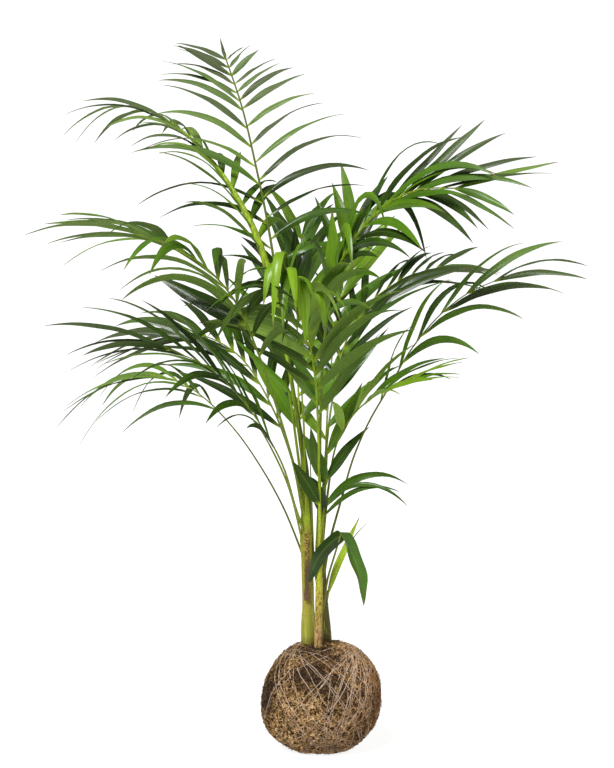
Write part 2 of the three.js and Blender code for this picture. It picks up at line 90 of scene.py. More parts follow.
SHEATH_FROM = 196.0
SHEATH_TO = 282.0
SHEATH_MIDDLE = -97.0  # degrees round the left cane
SHEATH_HALF_ARC = 60.0  # degrees
SHEATH_FOOT_SHARE = 0.06
SHEATH_GAP = 0.65

# a fresh below 0 is painted shade: a darker green for the back fronds, deep in shade
# The fronds. Lengths are in millimetres and angles in degrees. Pairs of values are for the foot and the
# end of the leafy part, and a key that ends in _left is for the leaflets on the frond's left.
#   route    points of the stalk, from its cane to its end
#   stalk    its thickness as a share of STALK_BASE and the rest, and its brightness from 0 to 1
#   stalk_radii  the stalk's own radii, where the shares along it come first
#   face     the way that the frond's upper side looks
#   bare     the share of the stalk that has no leaflets
#   pairs    how many leaflets stand on a side
#   reach    the lengths of the first, the longest and the last leaflet
#   width    the width of the longest leaflet; broad widens it, and foot is the share that its foot keeps
#   ahead    the angle between a leaflet and the stalk; skew adds to it on the right and takes from it on
#            the left
#   lift     the angle at which a leaflet rises from the frond's plane
#   droop    how fast it bends down, and stiff the share of that which the blades keep
#   turn     how far a leaflet turns to face up, at its foot and at its tip
#   fresh    how young its green is, from 0 to 1; only the opening leaf has more
#   strap    the share of the stalk where the blade of the opening leaf starts
#   between  the pairs that are followed by a pair of small leaflets; end is the last leaflet's length
#   lone     leaflets that are placed one by one: start, way, length, width, droop, fresh, and either how
#            far the blade turns to face up or the way that it faces
#   spears   leaves that haven't opened: route, radius and brightness
FRONDS = [
    dict(
        name="frond_crown", cane="cane_left", stalk=(0.95, 0.05), fresh=0.1,
        face=(0.1, -1, 0.25), bare=0.49, pairs=12, reach=(160, 150, 34), reach_left=(85, 180, 72),
        width=11.5, ahead=(48, 46), skew=10, lift=10, droop=(1.0, 0.7), turn=(0.35, 0.8),
        between=(8, 9, 10), end=34,
        route=[(-17.5, 5.5, 310), (-20, 16, 366), (-38, 38, 471), (-54, 60, 578), (-72, 80, 688),
               (-89, 95, 770), (-108, 108, 850), (-133, 130, 925)],
        lone=[((-122.2, 120.3, 893.8), (-0.82, -0.18, 0.54), 84, 9, 0.2, 0.1, (0.1, -1, 0.3))],
    ),
    dict(
        name="frond_upper_left", cane="cane_left", stalk=(1.15, 1.0),
        stalk_radii=((0, 0.3, 0.42, 0.62, 0.8, 1), (1.7, 2.0, 5.2, 4.0, 2.2, 0.9)), fresh=0.25,
        face=(0.55, -0.3, 0.8), bare=0.5, pairs=12, reach=(150, 125, 128), width=11.5,
        ahead=(42, 14), lift=16, droop=(1.0, 1.3), turn=(0.2, 0.9),
        route=[(-18, -1.6, 310), (-23, -2, 359), (-37, 10, 459), (-56, 32, 564), (-82, 52, 660),
               (-115, 75, 727), (-154, 95, 782), (-195, 110, 822), (-238, 118, 845)],
    ),
    dict(
        name="frond_upper_right", cane="cane_right", stalk=(0.8, 0.6), fresh=(0.08, 0.16),
        face=(-0.4, -0.65, 0.55), bare=0.42, pairs=13, reach=(120, 168, 95),
        reach_left=(150, 175, 118), width=11.5, ahead=(30, 10), skew=6, lift=12, droop=(0.9, 0.9),
        droop_left=(2.4, 0.3), turn=(0, 0.3),
        route=[(-5.8, 8.1, 260), (-3, 4, 344), (-2, -8, 435), (2, -34, 526), (14, -66, 610),
               (41, -100, 662), (75, -130, 698), (115, -155, 715), (159, -175, 715)],
        lone=[((9.9, -58.1, 592.2), (0.02, 0.08, 1), 108, 22, 0.2, 0.14, 0),
              ((14, -66, 610), (0.29, -0.17, 0.94), 100, 26, 0.4, 0.24, 0),
              ((17.4, -71.4, 620.3), (0.49, 0.14, 0.86), 92, 19, 0.4, 0.02, 0),
              ((78, -132.2, 700.1), (0.65, 0.19, 0.74), 138, 11, 0.1, 0.12, 0),
              ((96.8, -144.6, 709.7), (0.7, 0.13, 0.7), 137, 14, 0.1, 0.16, 0),
              ((110, -152.3, 713.9), (0.74, 0.01, 0.67), 129, 10, 0.4, 0.04, 0)],
    ),
    dict(
        name="frond_far_right", cane="cane_right", stalk=(0.58, 0.12), fresh=0.14,
        face=(-0.5, -0.6, 0.7), bare=0.52, pairs=6, reach=(125, 150, 125), width=11.5, ahead=(28, 9),
        lift=12, droop=(1.2, 0.8), turn=(0, 0.6),
        route=[(0, 10, 212), (10, 1, 270), (25, -8, 327), (40, -16, 381), (60, -25, 429),
               (87, -35, 477), (111, -45, 520), (143, -55, 561), (180, -64, 592), (218, -72, 610)],
    ),
    dict(
        name="frond_left_front", cane="cane_left", stalk=(0.75, 0.45), fresh=(0.14, 0.42),
        face=(0.45, 0.35, 0.8), bare=0.42, pairs=12, reach=(130, 180, 135), width=12.5,
        ahead=(44, 12), lift=20, droop=(1.3, 0.9), turn=(0, 0.6),
        route=[(-24.4, -1.2, 310), (-36, -22, 371), (-58, -50, 450), (-82, -80, 523),
               (-106, -112, 580), (-136, -145, 618), (-170, -175, 642), (-214, -205, 660)],
        lone=[((-93.6, -95.8, 553.7), (-0.82, 0.31, 0.48), 142, 25, 0.1, 0.02, (0, -1, 0.4))],
        spears=[([(-22.8, -2, 299.8), (-27.3, -6, 352.5), (-33.8, -8, 404.7), (-40.2, -8, 450.1),
                  (-47, -8, 482)], 2, 0.75),
                ([(-20.8, -4, 306.6), (-22.1, -8, 365.7), (-23.4, -10, 417.8), (-26, -10, 463.1),
                  (-28, -10, 495)], 1.7, 0.8)],
    ),
    dict(
        name="frond_low_left_back", cane="cane_left", stalk=(0.5, 0.15), fresh=0.16,
        face=(0.4, -0.6, 0.8), bare=0.68, pairs=6, reach=(150, 175, 150), width=10, ahead=(32, 10),
        lift=12, droop=(1.6, 1.4), turn=(0, 0.8),
        route=[(-21, 2, 240), (-29, 8, 263), (-51, 22, 314), (-79, 42, 362), (-113, 62, 409),
               (-154, 82, 451), (-193, 98, 476), (-228, 110, 485)],
    ),
    dict(
        name="frond_low_left_front", cane="cane_left", stalk=(0.6, 0.45), fresh=0.12, stiff=0.6,
        face=(0.4, -0.3, 0.85), bare=0.42, pairs=9, reach=(130, 175, 150), width=11.5,
        ahead=(38, 10), lift=12, droop=(1.7, 1.3), turn=(0, 0.7),
        route=[(-21, -1, 278), (-34, -14, 316), (-50, -30, 372), (-77, -50, 425), (-110, -75, 471),
               (-145, -100, 503), (-189, -120, 525)],
        spears=[([(-24.7, -4, 267.4), (-38.9, -10, 329.5), (-54.4, -14, 371.4), (-77.5, -18, 415.8),
                  (-93, -22, 434)], 1.5, 0.5)],
    ),
    dict(
        # fresh below 0 is painted shade: a darker green for this frond, deep in shade at the back
        name="frond_left_back", cane="cane_left", stalk=(0.7, 0.3), fresh=-0.04,
        face=(0.3, -0.8, 0.5), bare=0.36, pairs=9, reach=(160, 200, 150), width=15, ahead=(30, 8),
        lift=6, droop=(0.7, 0.7), turn=(0, 0.4),
        route=[(-24, 5.4, 310), (-36, 28, 365), (-63, 68, 436), (-103, 110, 501), (-151, 150, 534),
               (-207, 185, 543)],
    ),
    dict(
        # fresh below 0 is painted shade: a darker green for this frond, deep in shade at the back
        name="frond_right_back", cane="cane_right", stalk=(0.65, 0.3), fresh=-0.1,
        face=(-0.4, -0.6, 0.8), bare=0.42, pairs=11, reach=(130, 165, 95), width=12.5,
        ahead=(36, 12), lift=16, droop=(0.7, 0.7), turn=(0, 0.6),
        route=[(-3, 12.9, 260), (3, 32, 352), (13, 66, 443), (31, 100, 524), (65, 135, 581),
               (114, 165, 617), (169, 190, 636)],
    ),
    dict(
        name="frond_low_right", cane="cane_right", stalk=(0.6, 0.4), fresh=0.4,
        face=(-0.5, -0.1, 0.8), bare=0.45, pairs=6, reach=(120, 135, 80), width=12.5, ahead=(28, 8),
        lift=20, droop=(0.7, 0.5), turn=(0, 0.6),
        route=[(-0.2, 8.1, 260), (9, 2, 345), (19, -18, 401), (42, -50, 443), (75, -82, 471),
               (111, -108, 487)],
    ),
    dict(
        name="frond_centre_front", cane="cane_middle", stalk=(0.85, 1.0), fresh=(0.2, 0.3),
        fresh_left=(0.4, 0.5),
        face=(0.1, 0.55, 0.8), bare=0.4, pairs=11, reach=(130, 165, 105), width=15, ahead=(38, 22),
        lift=22, droop=(0.35, 2.6), turn=(0, 0.5),
        route=[(-3.4, -23.4, 234), (-3, -26, 287), (-4, -34, 372), (-7, -48, 462), (-12, -64, 507),
               (-20, -84, 548), (-31, -112, 585), (-45, -147, 612)],
        lone=[((-3.5, -29, 323), (-0.43, -0.26, 0.87), 71, 19, 0.3, 0.06, 0.2),
              ((-3.9, -33, 358), (-0.16, 0.08, 0.98), 66, 14, 0.1, 0.1, 0.2),
              ((-45, -147, 612), (-0.23, -0.37, 0.9), 94, 12, 3.3, 0.32, 1),
              ((-43, -142, 608.3), (-0.08, -0.28, 0.96), 149, 12, 3.5, 0.5, 1),
              ((-37, -126.9, 597.6), (-0.08, -0.52, 0.85), 125, 13, 3.2, 0.36, 1),
              ((-31.3, -112.6, 585.6), (0.06, -0.32, 0.95), 134, 16, 3.7, 0.55, 1),
              ((-26.2, -99.9, 571.1), (0.16, -0.25, 0.95), 110, 16, 2.7, 0.4, 1)],
    ),
    dict(
        name="frond_inner", cane="cane_middle", stalk=(0.7, 0.6), fresh=0.12, fresh_left=0.05,
        face=(0, -1, 0.2), bare=0.5, pairs=3, reach=(136, 95, 95), reach_left=(70, 80, 70), width=15,
        broad_left=1.5, ahead=(24, 16), skew=10, lift=8, droop=(1.2, 0.1), turn=(0, 0.5),
        route=[(-2.6, -17.6, 234), (-3, -13, 266), (2, -14, 311), (5, -14, 350), (7, -13, 389)],
        lone=[((1.5, -14, 305), (0.61, -0.17, 0.78), 118, 7, 1.1, 0.08, 0.3),
              ((2.5, -14, 322), (0.67, -0.22, 0.71), 130, 6.5, 1.5, 0.05, 0.3)],
        spears=[([(-3.7, -18, 195), (-0.6, -11, 244), (1.3, -8, 300), (2.6, -9, 352.7),
                  (5.1, -10, 404.8), (9, -12, 457)], 1.8, 0.9)],
    ),
    dict(
        name="frond_back_left", cane="cane_left", stalk=(0.75, 0.6), fresh=0.24, stiff=0.4,
        face=(0.1, -0.8, 0.5), bare=0.42, pairs=9, reach=(120, 145, 110), width=18, ahead=(42, 12),
        lift=14, droop=(0.6, 1.8), turn=(0, 0.3),
        route=[(-20, 2, 266), (-22, 14, 304), (-27, 50, 381), (-31, 92, 456), (-33, 134, 536),
               (-32, 172, 614), (-27, 202, 682)],
        lone=[((-32.5, 165, 599.1), (0.26, 0.16, 0.95), 78, 17, 0.1, 0.2, 0),
              ((-31.9, 173.3, 616.9), (-0.07, 0.04, 1), 76, 16, 0.1, 0.24, 0)],
    ),
    dict(
        name="frond_back_right", cane="cane_right", stalk=(0.7, 0.5), fresh=0.22, stiff=0.4,
        face=(0, -0.8, 0.5), bare=0.42, pairs=9, reach=(120, 145, 105), width=18, ahead=(42, 12),
        lift=14, droop=(0.6, 1.6), turn=(0, 0.3),
        route=[(-1, 10, 240), (2, 24, 278), (5, 58, 361), (9, 96, 448), (18, 134, 534),
               (32, 168, 618), (49, 194, 690)],
        spears=[([(0.5, 9.5, 184), (-6, 6.5, 214), (-11, 3, 250), (-13, 0, 299.5), (-14.3, 0, 351.9),
                  (-16.9, 0, 404)], 2, 0.3)],
    ),
    dict(
        name="frond_forked", cane="cane_right", stalk=(0.6, 0.2), fresh=0.06,
        face=(0, -1, 0.2), bare=0.97, pairs=1, reach=(98, 98, 98), reach_left=(84, 84, 84), width=20,
        foot=0.6, ahead=(142, 142), skew=-12, lift=12, droop=(2.2, 2.2), droop_left=(1.1, 1.1),
        turn=(0, 0.2),
        route=[(1.4, 6.9, 180), (7, -9, 222), (16, -30, 258), (24, -48, 288)],
    ),
    dict(
        name="frond_bright", cane="cane_right", stalk=(0.9, 0.9), fresh=1.25, strap=0.16,
        face=(-0.4, -1, 0.4), bare=0.05, pairs=1, sides=(1,), reach=(84, 84, 84), width=10,
        ahead=(2, 2), lift=4, droop=(0.15, 0.15), turn=(0, 0.2),
        route=[(5, 12.6, 186), (11, 8, 214), (19, 2, 238), (30, -4, 262)],
        spears=[([(31, -2, 258), (38.5, -4, 273), (49, -6, 287), (63.5, -10, 301.3)], 0.7, 0.05)],
    ),
]
STALK_STEPS = 12
STALK_BASE, STALK_BARE, STALK_TIP = 2.6, 1.9, 1.05
ARC_STEPS = 20
TIP_SHARE = 0.985
LONGEST_AT = 0.4
SHORTENING = 1.2
STAGGER = 0.22
WIDEST_AT = 0.38
BLADE_TAPER = 1.15
# what varies from leaflet to leaflet, and by how much at most
VARIED_IN_ORDER = (
    ("length", 0.1), ("angle", 6), ("lift", 9), ("width", 0.14), ("droop", 0.34), ("roll", 24),
)
LEAST_WIDTH, LEAST_DROOP = 0.6, 0.45
# the ways of laying a leaflet that the solids try: shorter, raised and swung by so many degrees
SHORTER = (1, 0.86, 0.7, 0.55)
RAISED = (0, 9, -9, 18, -18, 28, -28)
SWUNG = (0, 7, -7, 14, -14)
CHOICES = np.array([(a, b, c) for a in SHORTER for b in RAISED for c in SWUNG], float)
ROUND_FOOT = 0.5
MATCH_WITHIN = 0.4  # how near a blade's tip must be to a corner of its solid


def shade(code):
    """A colour from its six hex digits, in the linear values that nodes take."""
    parts = [int(code[k:k + 2], 16) / 255 for k in (0, 2, 4)]
    return tuple(p / 12.92 if p <= 0.04045 else ((p + 0.055) / 1.055) ** 2.4 for p in parts)


# ---- settings that a user would change ----
def colour_setting(name, code, description):
    return FloatVectorProperty(name=name, description=description, default=shade(code), subtype="COLOR",
                               min=0.0, max=1.0, size=3)


class PalmLeafSettings(bpy.types.PropertyGroup):
    thickness: FloatProperty(name="Blade thickness", description="Thickness of a leaflet's blade",
                             default=0.45 * MM, min=0.1 * MM, max=2 * MM, unit="LENGTH")
    stations: IntProperty(name="Blade stations", description="Steps along each leaflet", default=16,
                          min=6, max=40)
    fold: FloatProperty(name="Fold", description="How far the edges hang, as a share of width",
                        default=0.13, min=0.0, max=0.5, subtype="FACTOR")
    deep: colour_setting("Deep green", "446c0a", "Upper side of an old leaflet")
    fresh: colour_setting("Fresh green", "8ab022", "Upper side of a young leaflet")
    under: colour_setting("Underside", "68843a", "Matt lower side of a leaflet")
    stalk: colour_setting("Stalk", "92ac22", "Frond stalks")
    tip: colour_setting("Dry tip", "6d5a3c", "Withered tips of leaflets")


class PalmStemSettings(bpy.types.PropertyGroup):
    ring_height: FloatProperty(name="Ring height", description="How far a leaf scar stands proud",
                               default=0.3 * MM, min=0.0, max=3 * MM, unit="LENGTH")
    green: colour_setting("Cane green", "929430", "Living cane")
    olive: colour_setting("Cane shade", "5f5a1c", "Darker streaks of a living cane")
    straw: colour_setting("Straw", "a48c48", "Dry middle cane")
    blotch: colour_setting("Blotches", "6a4224", "Brown blotches on the dry cane")
    sheath: colour_setting("Dry sheath", "6c5434", "Papery sheath on the left cane")


class PalmBallSettings(bpy.types.PropertyGroup):
    chips: IntProperty(name="Chips", description="Coir chips set in the ball", default=3200,
                       min=0, max=6000)
    fibres: IntProperty(name="Fibres", description="Loose coir fibres on the ball", default=5200,
                        min=0, max=8000)
    loops: IntProperty(name="Thread loops", description="Turns of binding thread", default=40,
                       min=6, max=90)
    thread_width: FloatProperty(name="Thread width", description="Width of the binding thread",
                                default=0.85 * MM, min=0.3 * MM, max=4 * MM, unit="LENGTH")
    peat: colour_setting("Peat", "3b2f25", "Dark peat between the chips")
    coir: colour_setting("Coir", "8a683e", "Golden-brown coir")
    husk: colour_setting("Husk", "b07a4c", "Reddish husk on the right side")
    twine: colour_setting("Twine", "ccb39c", "Binding thread")


class PalmStageSettings(bpy.types.PropertyGroup):
    floor: colour_setting("Floor", "8c8c8a", "Plain floor")
    key: FloatProperty(name="Key light", description="Strength of the main soft light", default=4.5,
                       min=0.0, max=20.0)
    fill: FloatProperty(name="Fill light", description="Strength of the second soft light", default=1.0,
                        min=0.0, max=20.0)


# ---- shader sums ----
class Wire:
    """An output socket, or a number, that sums can be written with."""

    def __init__(self, finish, socket):
        self.finish = finish
        self.socket = socket

    def maths(self, operation, *others, clamp=False):
        values = dict(enumerate((self, *others)))
        node = self.finish.node("ShaderNodeMath", values, operation=operation, use_clamp=clamp)
        return self.finish.wire(node)

    def __add__(self, other):
        return self.maths("ADD", other)

    __radd__ = __add__

    def __mul__(self, other):
        return self.maths("MULTIPLY", other)

    __rmul__ = __mul__

    def __sub__(self, other):
        return self.maths("SUBTRACT", other)

    def __rsub__(self, other):
        node = self.finish.node("ShaderNodeMath", {0: other, 1: self}, operation="SUBTRACT")
        return self.finish.wire(node)

    def __abs__(self):
        return self.maths("ABSOLUTE")

    def kept(self):
        """The value held between 0 and 1."""
        return self.maths("ADD", 0.0, clamp=True)

    def between(self, low, high):
        """0 below low, 1 above high, and a smooth rise from one to the other."""
        values = {"Value": self, "From Min": low, "From Max": high}
        node = self.finish.node("ShaderNodeMapRange", values, interpolation_type="SMOOTHSTEP")
        return self.finish.wire(node)

    def below(self, low, high):
        """1 below low, 0 above high, and a smooth fall from one to the other."""
        return 1.0 - self.between(low, high)


class Finish:
    """The node tree of a material or of the world, and the nodes that make its finish."""

    def __init__(self, owner, shader="BSDF_PRINCIPLED", **constants):
        owner.use_nodes = True
        self.owner = owner
        self.tree = owner.node_tree
        self.shader = next(n for n in self.tree.nodes if n.type == shader)
        for socket, value in constants.items():
            self.shader.inputs[socket.replace("_", " ")].default_value = value

    @classmethod
    def of(cls, name, **constants):
        """The finish of a new material, whose constants are set on its shader's sockets."""
        return cls(bpy.data.materials.new(name), **constants)

    def node(self, kind, values=None, **settings):
        """A node with its settings, and with its inputs fed by values."""
        made = self.tree.nodes.new(kind)
        stops = settings.pop("stops", None)
        for key, value in settings.items():
            setattr(made, key, value)
        if stops:
            ramp = made.color_ramp
            while len(ramp.elements) < len(stops):
                ramp.elements.new(1.0)
            for element, (place, colour) in zip(ramp.elements, stops):
                element.position = place
                element.color = (*colour, 1.0)
        for key, value in (values or {}).items():
            self.feed(made.inputs[key], value)
        return made

    def feed(self, socket, value):
        if isinstance(value, Wire):
            self.tree.links.new(value.socket, socket)
        elif socket.type == "RGBA" and len(value) == 3:
            socket.default_value = (*value, 1.0)
        else:
            socket.default_value = value

    def wire(self, node, output=0):
        return Wire(self, node.outputs[output])

    def places(self, scale=(1, 1, 1)):
        """The point on the object in metres, stretched by scale."""
        point = self.wire(self.node("ShaderNodeTexCoord"), "Object")
        return self.wire(self.node("ShaderNodeMapping", {"Vector": point, "Scale": scale}))

    def noise(self, vector, scale, detail=3.0, roughness=0.55):
        values = {"Vector": vector, "Scale": scale, "Detail": detail, "Roughness": roughness}
        return self.wire(self.node("ShaderNodeTexNoise", values))

    def cells(self, vector, scale):
        """The distance to the middle of the nearest cell."""
        return self.wire(self.node("ShaderNodeTexVoronoi", {"Vector": vector, "Scale": scale}))

    def map_of(self, name):
        """The two values of one of the piece's own maps."""
        return self.split(self.wire(self.node("ShaderNodeUVMap", uv_map=name)))[:2]

    def split(self, vector):
        parts = self.node("ShaderNodeSeparateXYZ", {0: vector})
        return [self.wire(parts, k) for k in range(3)]

    def join(self, *parts):
        return self.wire(self.node("ShaderNodeCombineXYZ", dict(enumerate(parts))))

    def near(self, centre, radius):
        """1 at a point of the object given in metres, and 0 beyond radius."""
        node = self.node("ShaderNodeVectorMath", {0: self.places(), 1: centre}, operation="DISTANCE")
        return self.wire(node, "Value").below(0.25 * radius, radius)

    def mix(self, factor, first, second):
        """A colour that is first where factor is 0 and second where it is 1."""
        node = self.node("ShaderNodeMix", {0: factor, 6: first, 7: second}, data_type="RGBA")
        return self.wire(node, 2)

    def coats(self, colour, *layers):
        """A colour with each layer, a factor and a colour or its six hex digits, laid over the last."""
        for factor, paint in layers:
            colour = self.mix(factor, colour, shade(paint) if isinstance(paint, str) else paint)
        return colour

    def ramp(self, factor, *stops):
        """A colour that runs through stops, each a place from 0 to 1 and a colour."""
        return self.wire(self.node("ShaderNodeValToRGB", {0: factor}, stops=stops))

    def relief(self, height, depth):
        """Bumps depth metres high, on the shader's normal."""
        bump = self.node("ShaderNodeBump", {"Height": height, "Distance": depth})
        self.feed(self.shader.inputs["Normal"], self.wire(bump))

    def wear(self, **looks):
        """Feeds the shader's sockets and gives back the material or the world."""
        for socket, value in looks.items():
            self.feed(self.shader.inputs[socket.replace("_", " ")], value)
        return self.owner


# ---- mesh helpers ----
def deselect_all():
    if bpy.context.object and bpy.context.object.mode != "OBJECT":
        bpy.ops.object.mode_set(mode="OBJECT")
    bpy.ops.object.select_all(action="DESELECT")


def pick(obj):
    """Makes an object the only one selected, and the active one."""
    deselect_all()
    obj.select_set(True)
    bpy.context.view_layer.objects.active = obj
    return obj


def name_it(name):
    obj = bpy.context.object
    obj.name = name
    obj.data.name = name
    return obj


def apply_modifier(obj, name, kind, **settings):
    pick(obj)
    modifier = obj.modifiers.new(name, kind)
    for key, value in settings.items():
        setattr(modifier, key, value)
    bpy.ops.object.modifier_apply(modifier=modifier.name)


def join_pieces(first, others):
    pick(first)
    for obj in others:
        obj.select_set(True)
    bpy.ops.object.join()
    return first


def edit_all(obj, operation, **settings):
    """Runs one edit operation on the whole mesh."""
    pick(obj)
    bpy.ops.object.mode_set(mode="EDIT")
    bpy.ops.mesh.select_all(action="SELECT")
    operation(**settings)
    bpy.ops.object.mode_set(mode="OBJECT")


def merge_doubles(obj, within):
    edit_all(obj, bpy.ops.mesh.remove_doubles, threshold=within)


def turn_outward(obj):
    edit_all(obj, bpy.ops.mesh.normals_make_consistent, inside=False)


def smooth(obj, degrees=180.0):
    """Shades smooth, all over or across edges that bend by less than degrees."""
    pick(obj)
    if degrees >= 180:
        bpy.ops.object.shade_smooth()
    else:
        bpy.ops.object.shade_smooth_by_angle(angle=math.radians(degrees))


def corners_of(obj):
    flat = np.zeros(len(obj.data.vertices) * 3)
    obj.data.vertices.foreach_get("co", flat)
    return flat.reshape(-1, 3)


def move_corners(obj, points):
    obj.data.vertices.foreach_set("co", np.asarray(points, float).ravel())
    obj.data.update()


def hold_above(obj, least):
    """Lifts corners that lie lower than least, in millimetres, to that height."""
    points = corners_of(obj)
    points[:, 2] = np.maximum(points[:, 2], least * MM)
    move_corners(obj, points)


def placed(name, data):
    """A new object in the scene, for a mesh, curve, light or camera."""
    obj = bpy.data.objects.new(name, data)
    bpy.context.scene.collection.objects.link(obj)
    return obj


def taken_apart(obj):
    """The corners and faces of an object that is then removed."""
    points = corners_of(obj)
    faces = [list(p.vertices) for p in obj.data.polygons]
    bpy.data.objects.remove(obj)
    return points, faces


def mesh_of(name, points, faces):
    """An object from points in millimetres and faces of their numbers."""
    mesh = bpy.data.meshes.new(name)
    mesh.from_pydata((np.asarray(points) * MM).tolist(), [], faces)
    mesh.update()
    return placed(name, mesh)


def shifted(faces, by):
    """The same faces with corners that are numbered from by."""
    return [[corner + by for corner in face] for face in faces]


def paint_map(obj, name, values):
    """Writes one pair of numbers for each face corner into a map of the mesh."""
    layer = obj.data.uv_layers.get(name) or obj.data.uv_layers.new(name=name)
    layer.data.foreach_set("uv", np.asarray(values, np.float32).ravel())


def declare(obj, slot, finishes, *nodes):
    """Gives a piece its materials and the body it rides on, and hides the solids it stands for; slot is
    not used.
    """
    for finish in finishes:
        obj.data.materials.append(finish)
    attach(obj, BODY)
    if nodes:
        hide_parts(*nodes)
    return obj


def round_bar(name, points, radii, resolution=2):
    """A round bar through points, in millimetres, made from a curve."""
    curve = bpy.data.curves.new(name, "CURVE")
    curve.dimensions = "3D"
    curve.bevel_depth = 1.0
    curve.bevel_resolution = resolution
    curve.use_fill_caps = True
    spline = curve.splines.new("POLY")
    spline.points.add(len(points) - 1)
    for place, point, radius in zip(spline.points, points, radii):
        place.co = (*(float(c) * MM for c in point), 1.0)
        place.radius = float(radius) * MM
    pick(placed(name, curve))
    bpy.ops.object.convert(target="MESH")
    return bpy.context.object


# ---- curves ----
def resampled(wanted, marks, rows):
    """Rows of three numbers, known at marks, read at the wanted marks."""
    return np.stack([np.interp(wanted, marks, rows[:, k]) for k in range(3)], axis=1)


def spline_point(points, t):
    """A point of the smooth curve through points at t from 0 to 1."""
    points = np.asarray(points, float)
    spans = len(points) - 1
    k = min(int(math.floor(t * spans)), spans - 1)
    w = t * spans - k
    p1, p2 = points[k], points[k + 1]
    p0 = points[k - 1] if k > 0 else 2 * points[0] - points[1]
    p3 = points[k + 2] if k + 2 <= spans else 2 * points[-1] - points[-2]
    t0, t1 = 0.5 * (p2 - p0), 0.5 * (p3 - p1)
    return p1 + w * (t0 + w * ((3 * (p2 - p1) - 2 * t0 - t1) + w * (2 * (p1 - p2) + t0 + t1)))


def spline_way(points, t):
    """The way the curve runs at t."""
    step = 1e-4
    low, high = max(t - step, 0.0), min(t + step, 1.0)
    return unit(spline_point(points, high) - spline_point(points, low))


def unit(vectors):
    vectors = np.asarray(vectors, float)
    return vectors / np.linalg.norm(vectors, axis=-1, keepdims=True)


def mixed(a, b, share):
    return a + (b - a) * share


def dimmed(colour, share):
    return tuple(part * share for part in colour)


def eased(share):
    """A smooth rise from 0 to 1."""
    share = np.clip(share, 0, 1)
    return share * share * (3 - 2 * share)


# ---- the ball ----
BALL_SUBDIVISIONS = 7
ROUGH_COARSE, ROUGH_FINE = (1.5, 9.0), (0.8, 3.2)  # height and size of the ball's bumps
ROUGH_SUNK = 0.9  # keeps the rough surface about where the solid's is
FLAKE_SEED, FIBRE_SEED = 11, 23
FLAKES_LOWEST, FIBRES_LOWEST = -0.86, -0.84  # heights on a ball of radius 1
FLAKE_LENGTH, FLAKE_BREADTH, FLAKE_THICKNESS = (1.6, 5.2), (0.3, 0.75), (0.9, 2.6)
FLAKE_BEVEL, FLAKE_TILT, FLAKE_SUNK = 0.18, 0.35, -0.2
FLAKES_CLEAR, FIBRES_CLEAR = 3.0, 1.0  # how far they stay from the canes
FIBRE_LENGTH, FIBRE_RADIUS, FIBRE_BEND = (3, 12), (0.2, 0.48), 5.0
FIBRE_LIFT, FIBRE_END_LIFT = (0.1, 0.7), (0, 2.2)
FIBRE_STEPS, FIBRE_LEAST_HEIGHT = 6, 0.4
FIBRE_TONE = (0.42, 0.58)  # the least, and how much more by chance
FIBRE_SMOOTH = 100  # degrees
CHIP_HELPER, FIBRE_HELPER = (0.3, 0.2, 1.0), (0.1, 0.3, 1.0)  # no piece lies square to these


def lobe(d, height, towards, spread):
    """height in one direction, and 0 well away from it."""
    return height * np.exp(-((np.arccos(np.clip(d @ unit(towards), -1, 1)) / spread) ** 2))


def ball_reach(d):
    """How far the ball reaches from its centre in the directions d."""
    x, y, z = d[..., 0], d[..., 1], d[..., 2]
    half = np.where(z > 0, BALL_CROWN_HALF, BALL_FOOT_HALF)
    even = 1 / np.sqrt((x / BALL_RADIUS) ** 2 + (y / BALL_RADIUS) ** 2 + (z / half) ** 2)
    from_top = np.arccos(np.clip(z, -1, 1))
    dish = BALL_DISH_DEPTH * np.exp(-((from_top / BALL_DISH_SPREAD) ** 2))
    lump = np.sin(4 * x + 5 * z + 1) * np.cos(5 * y - 3 * z) + 0.6 * np.sin(7 * y + 6 * x + 2)
    return even - dish + BALL_LUMP * lump + lobe(d, *BALL_CORNER) + lobe(d, *BALL_SLOPE)


def ball_points(d, lift=0.0):
    """Points of the ball's surface in the directions d, raised by lift."""
    points = d * (ball_reach(d) + lift)[..., None]
    points[..., 2] += BALL_CENTRE_HEIGHT
    return points


def scattered(rng, count, least_z):
    """Even random directions, none of them lower than least_z."""
    found = []
    while len(found) < count:
        z = rng.uniform(least_z, 1)
        turn = rng.uniform(0, 2 * math.pi)
        flat = math.sqrt(1 - z * z)
        found.append((flat * math.cos(turn), flat * math.sin(turn), z))
    return np.array(found)


def rough(point, size):
    """Smooth noise with bumps of about a size."""
    return noise.fractal(Vector(point) / size, 1.0, 2.0, 4)


def clear_of_canes(points, margin):
    """False for points inside a cane or nearly so."""
    clear = np.ones(len(points), bool)
    for cane in CANES.values():
        foot = np.array(cane["axis"][1][:2])
        away = np.linalg.norm(points[:, :2] - foot, axis=1)
        clear &= (away > max(cane["radii"][:2]) + margin) | (points[:, 2] < BALL_CENTRE_HEIGHT)
    return clear


def coir_patches(f):
    """Where the ball is peaty, where it is golden, and how far to its right a point lies."""
    patches = f.noise(f.places(), 26.0, 3.0)
    dark = f.near((-0.016, -0.066, 0.105), 0.04) + f.near((-0.07, -0.03, 0.07), 0.03)
    dark = dark + f.near((0.02, -0.07, 0.09), 0.035) * 0.7 + f.near((-0.012, -0.03, 0.146), 0.032)
    gold = f.near((-0.03, -0.07, 0.06), 0.055) + f.near((-0.055, -0.05, 0.03), 0.035)
    right = f.split(f.places())[0].between(0.015, 0.07)
    peaty = (patches.between(0.5, 0.64) * 0.5 + dark * 0.85 - gold * 0.6).kept()
    return peaty, gold.kept(), right


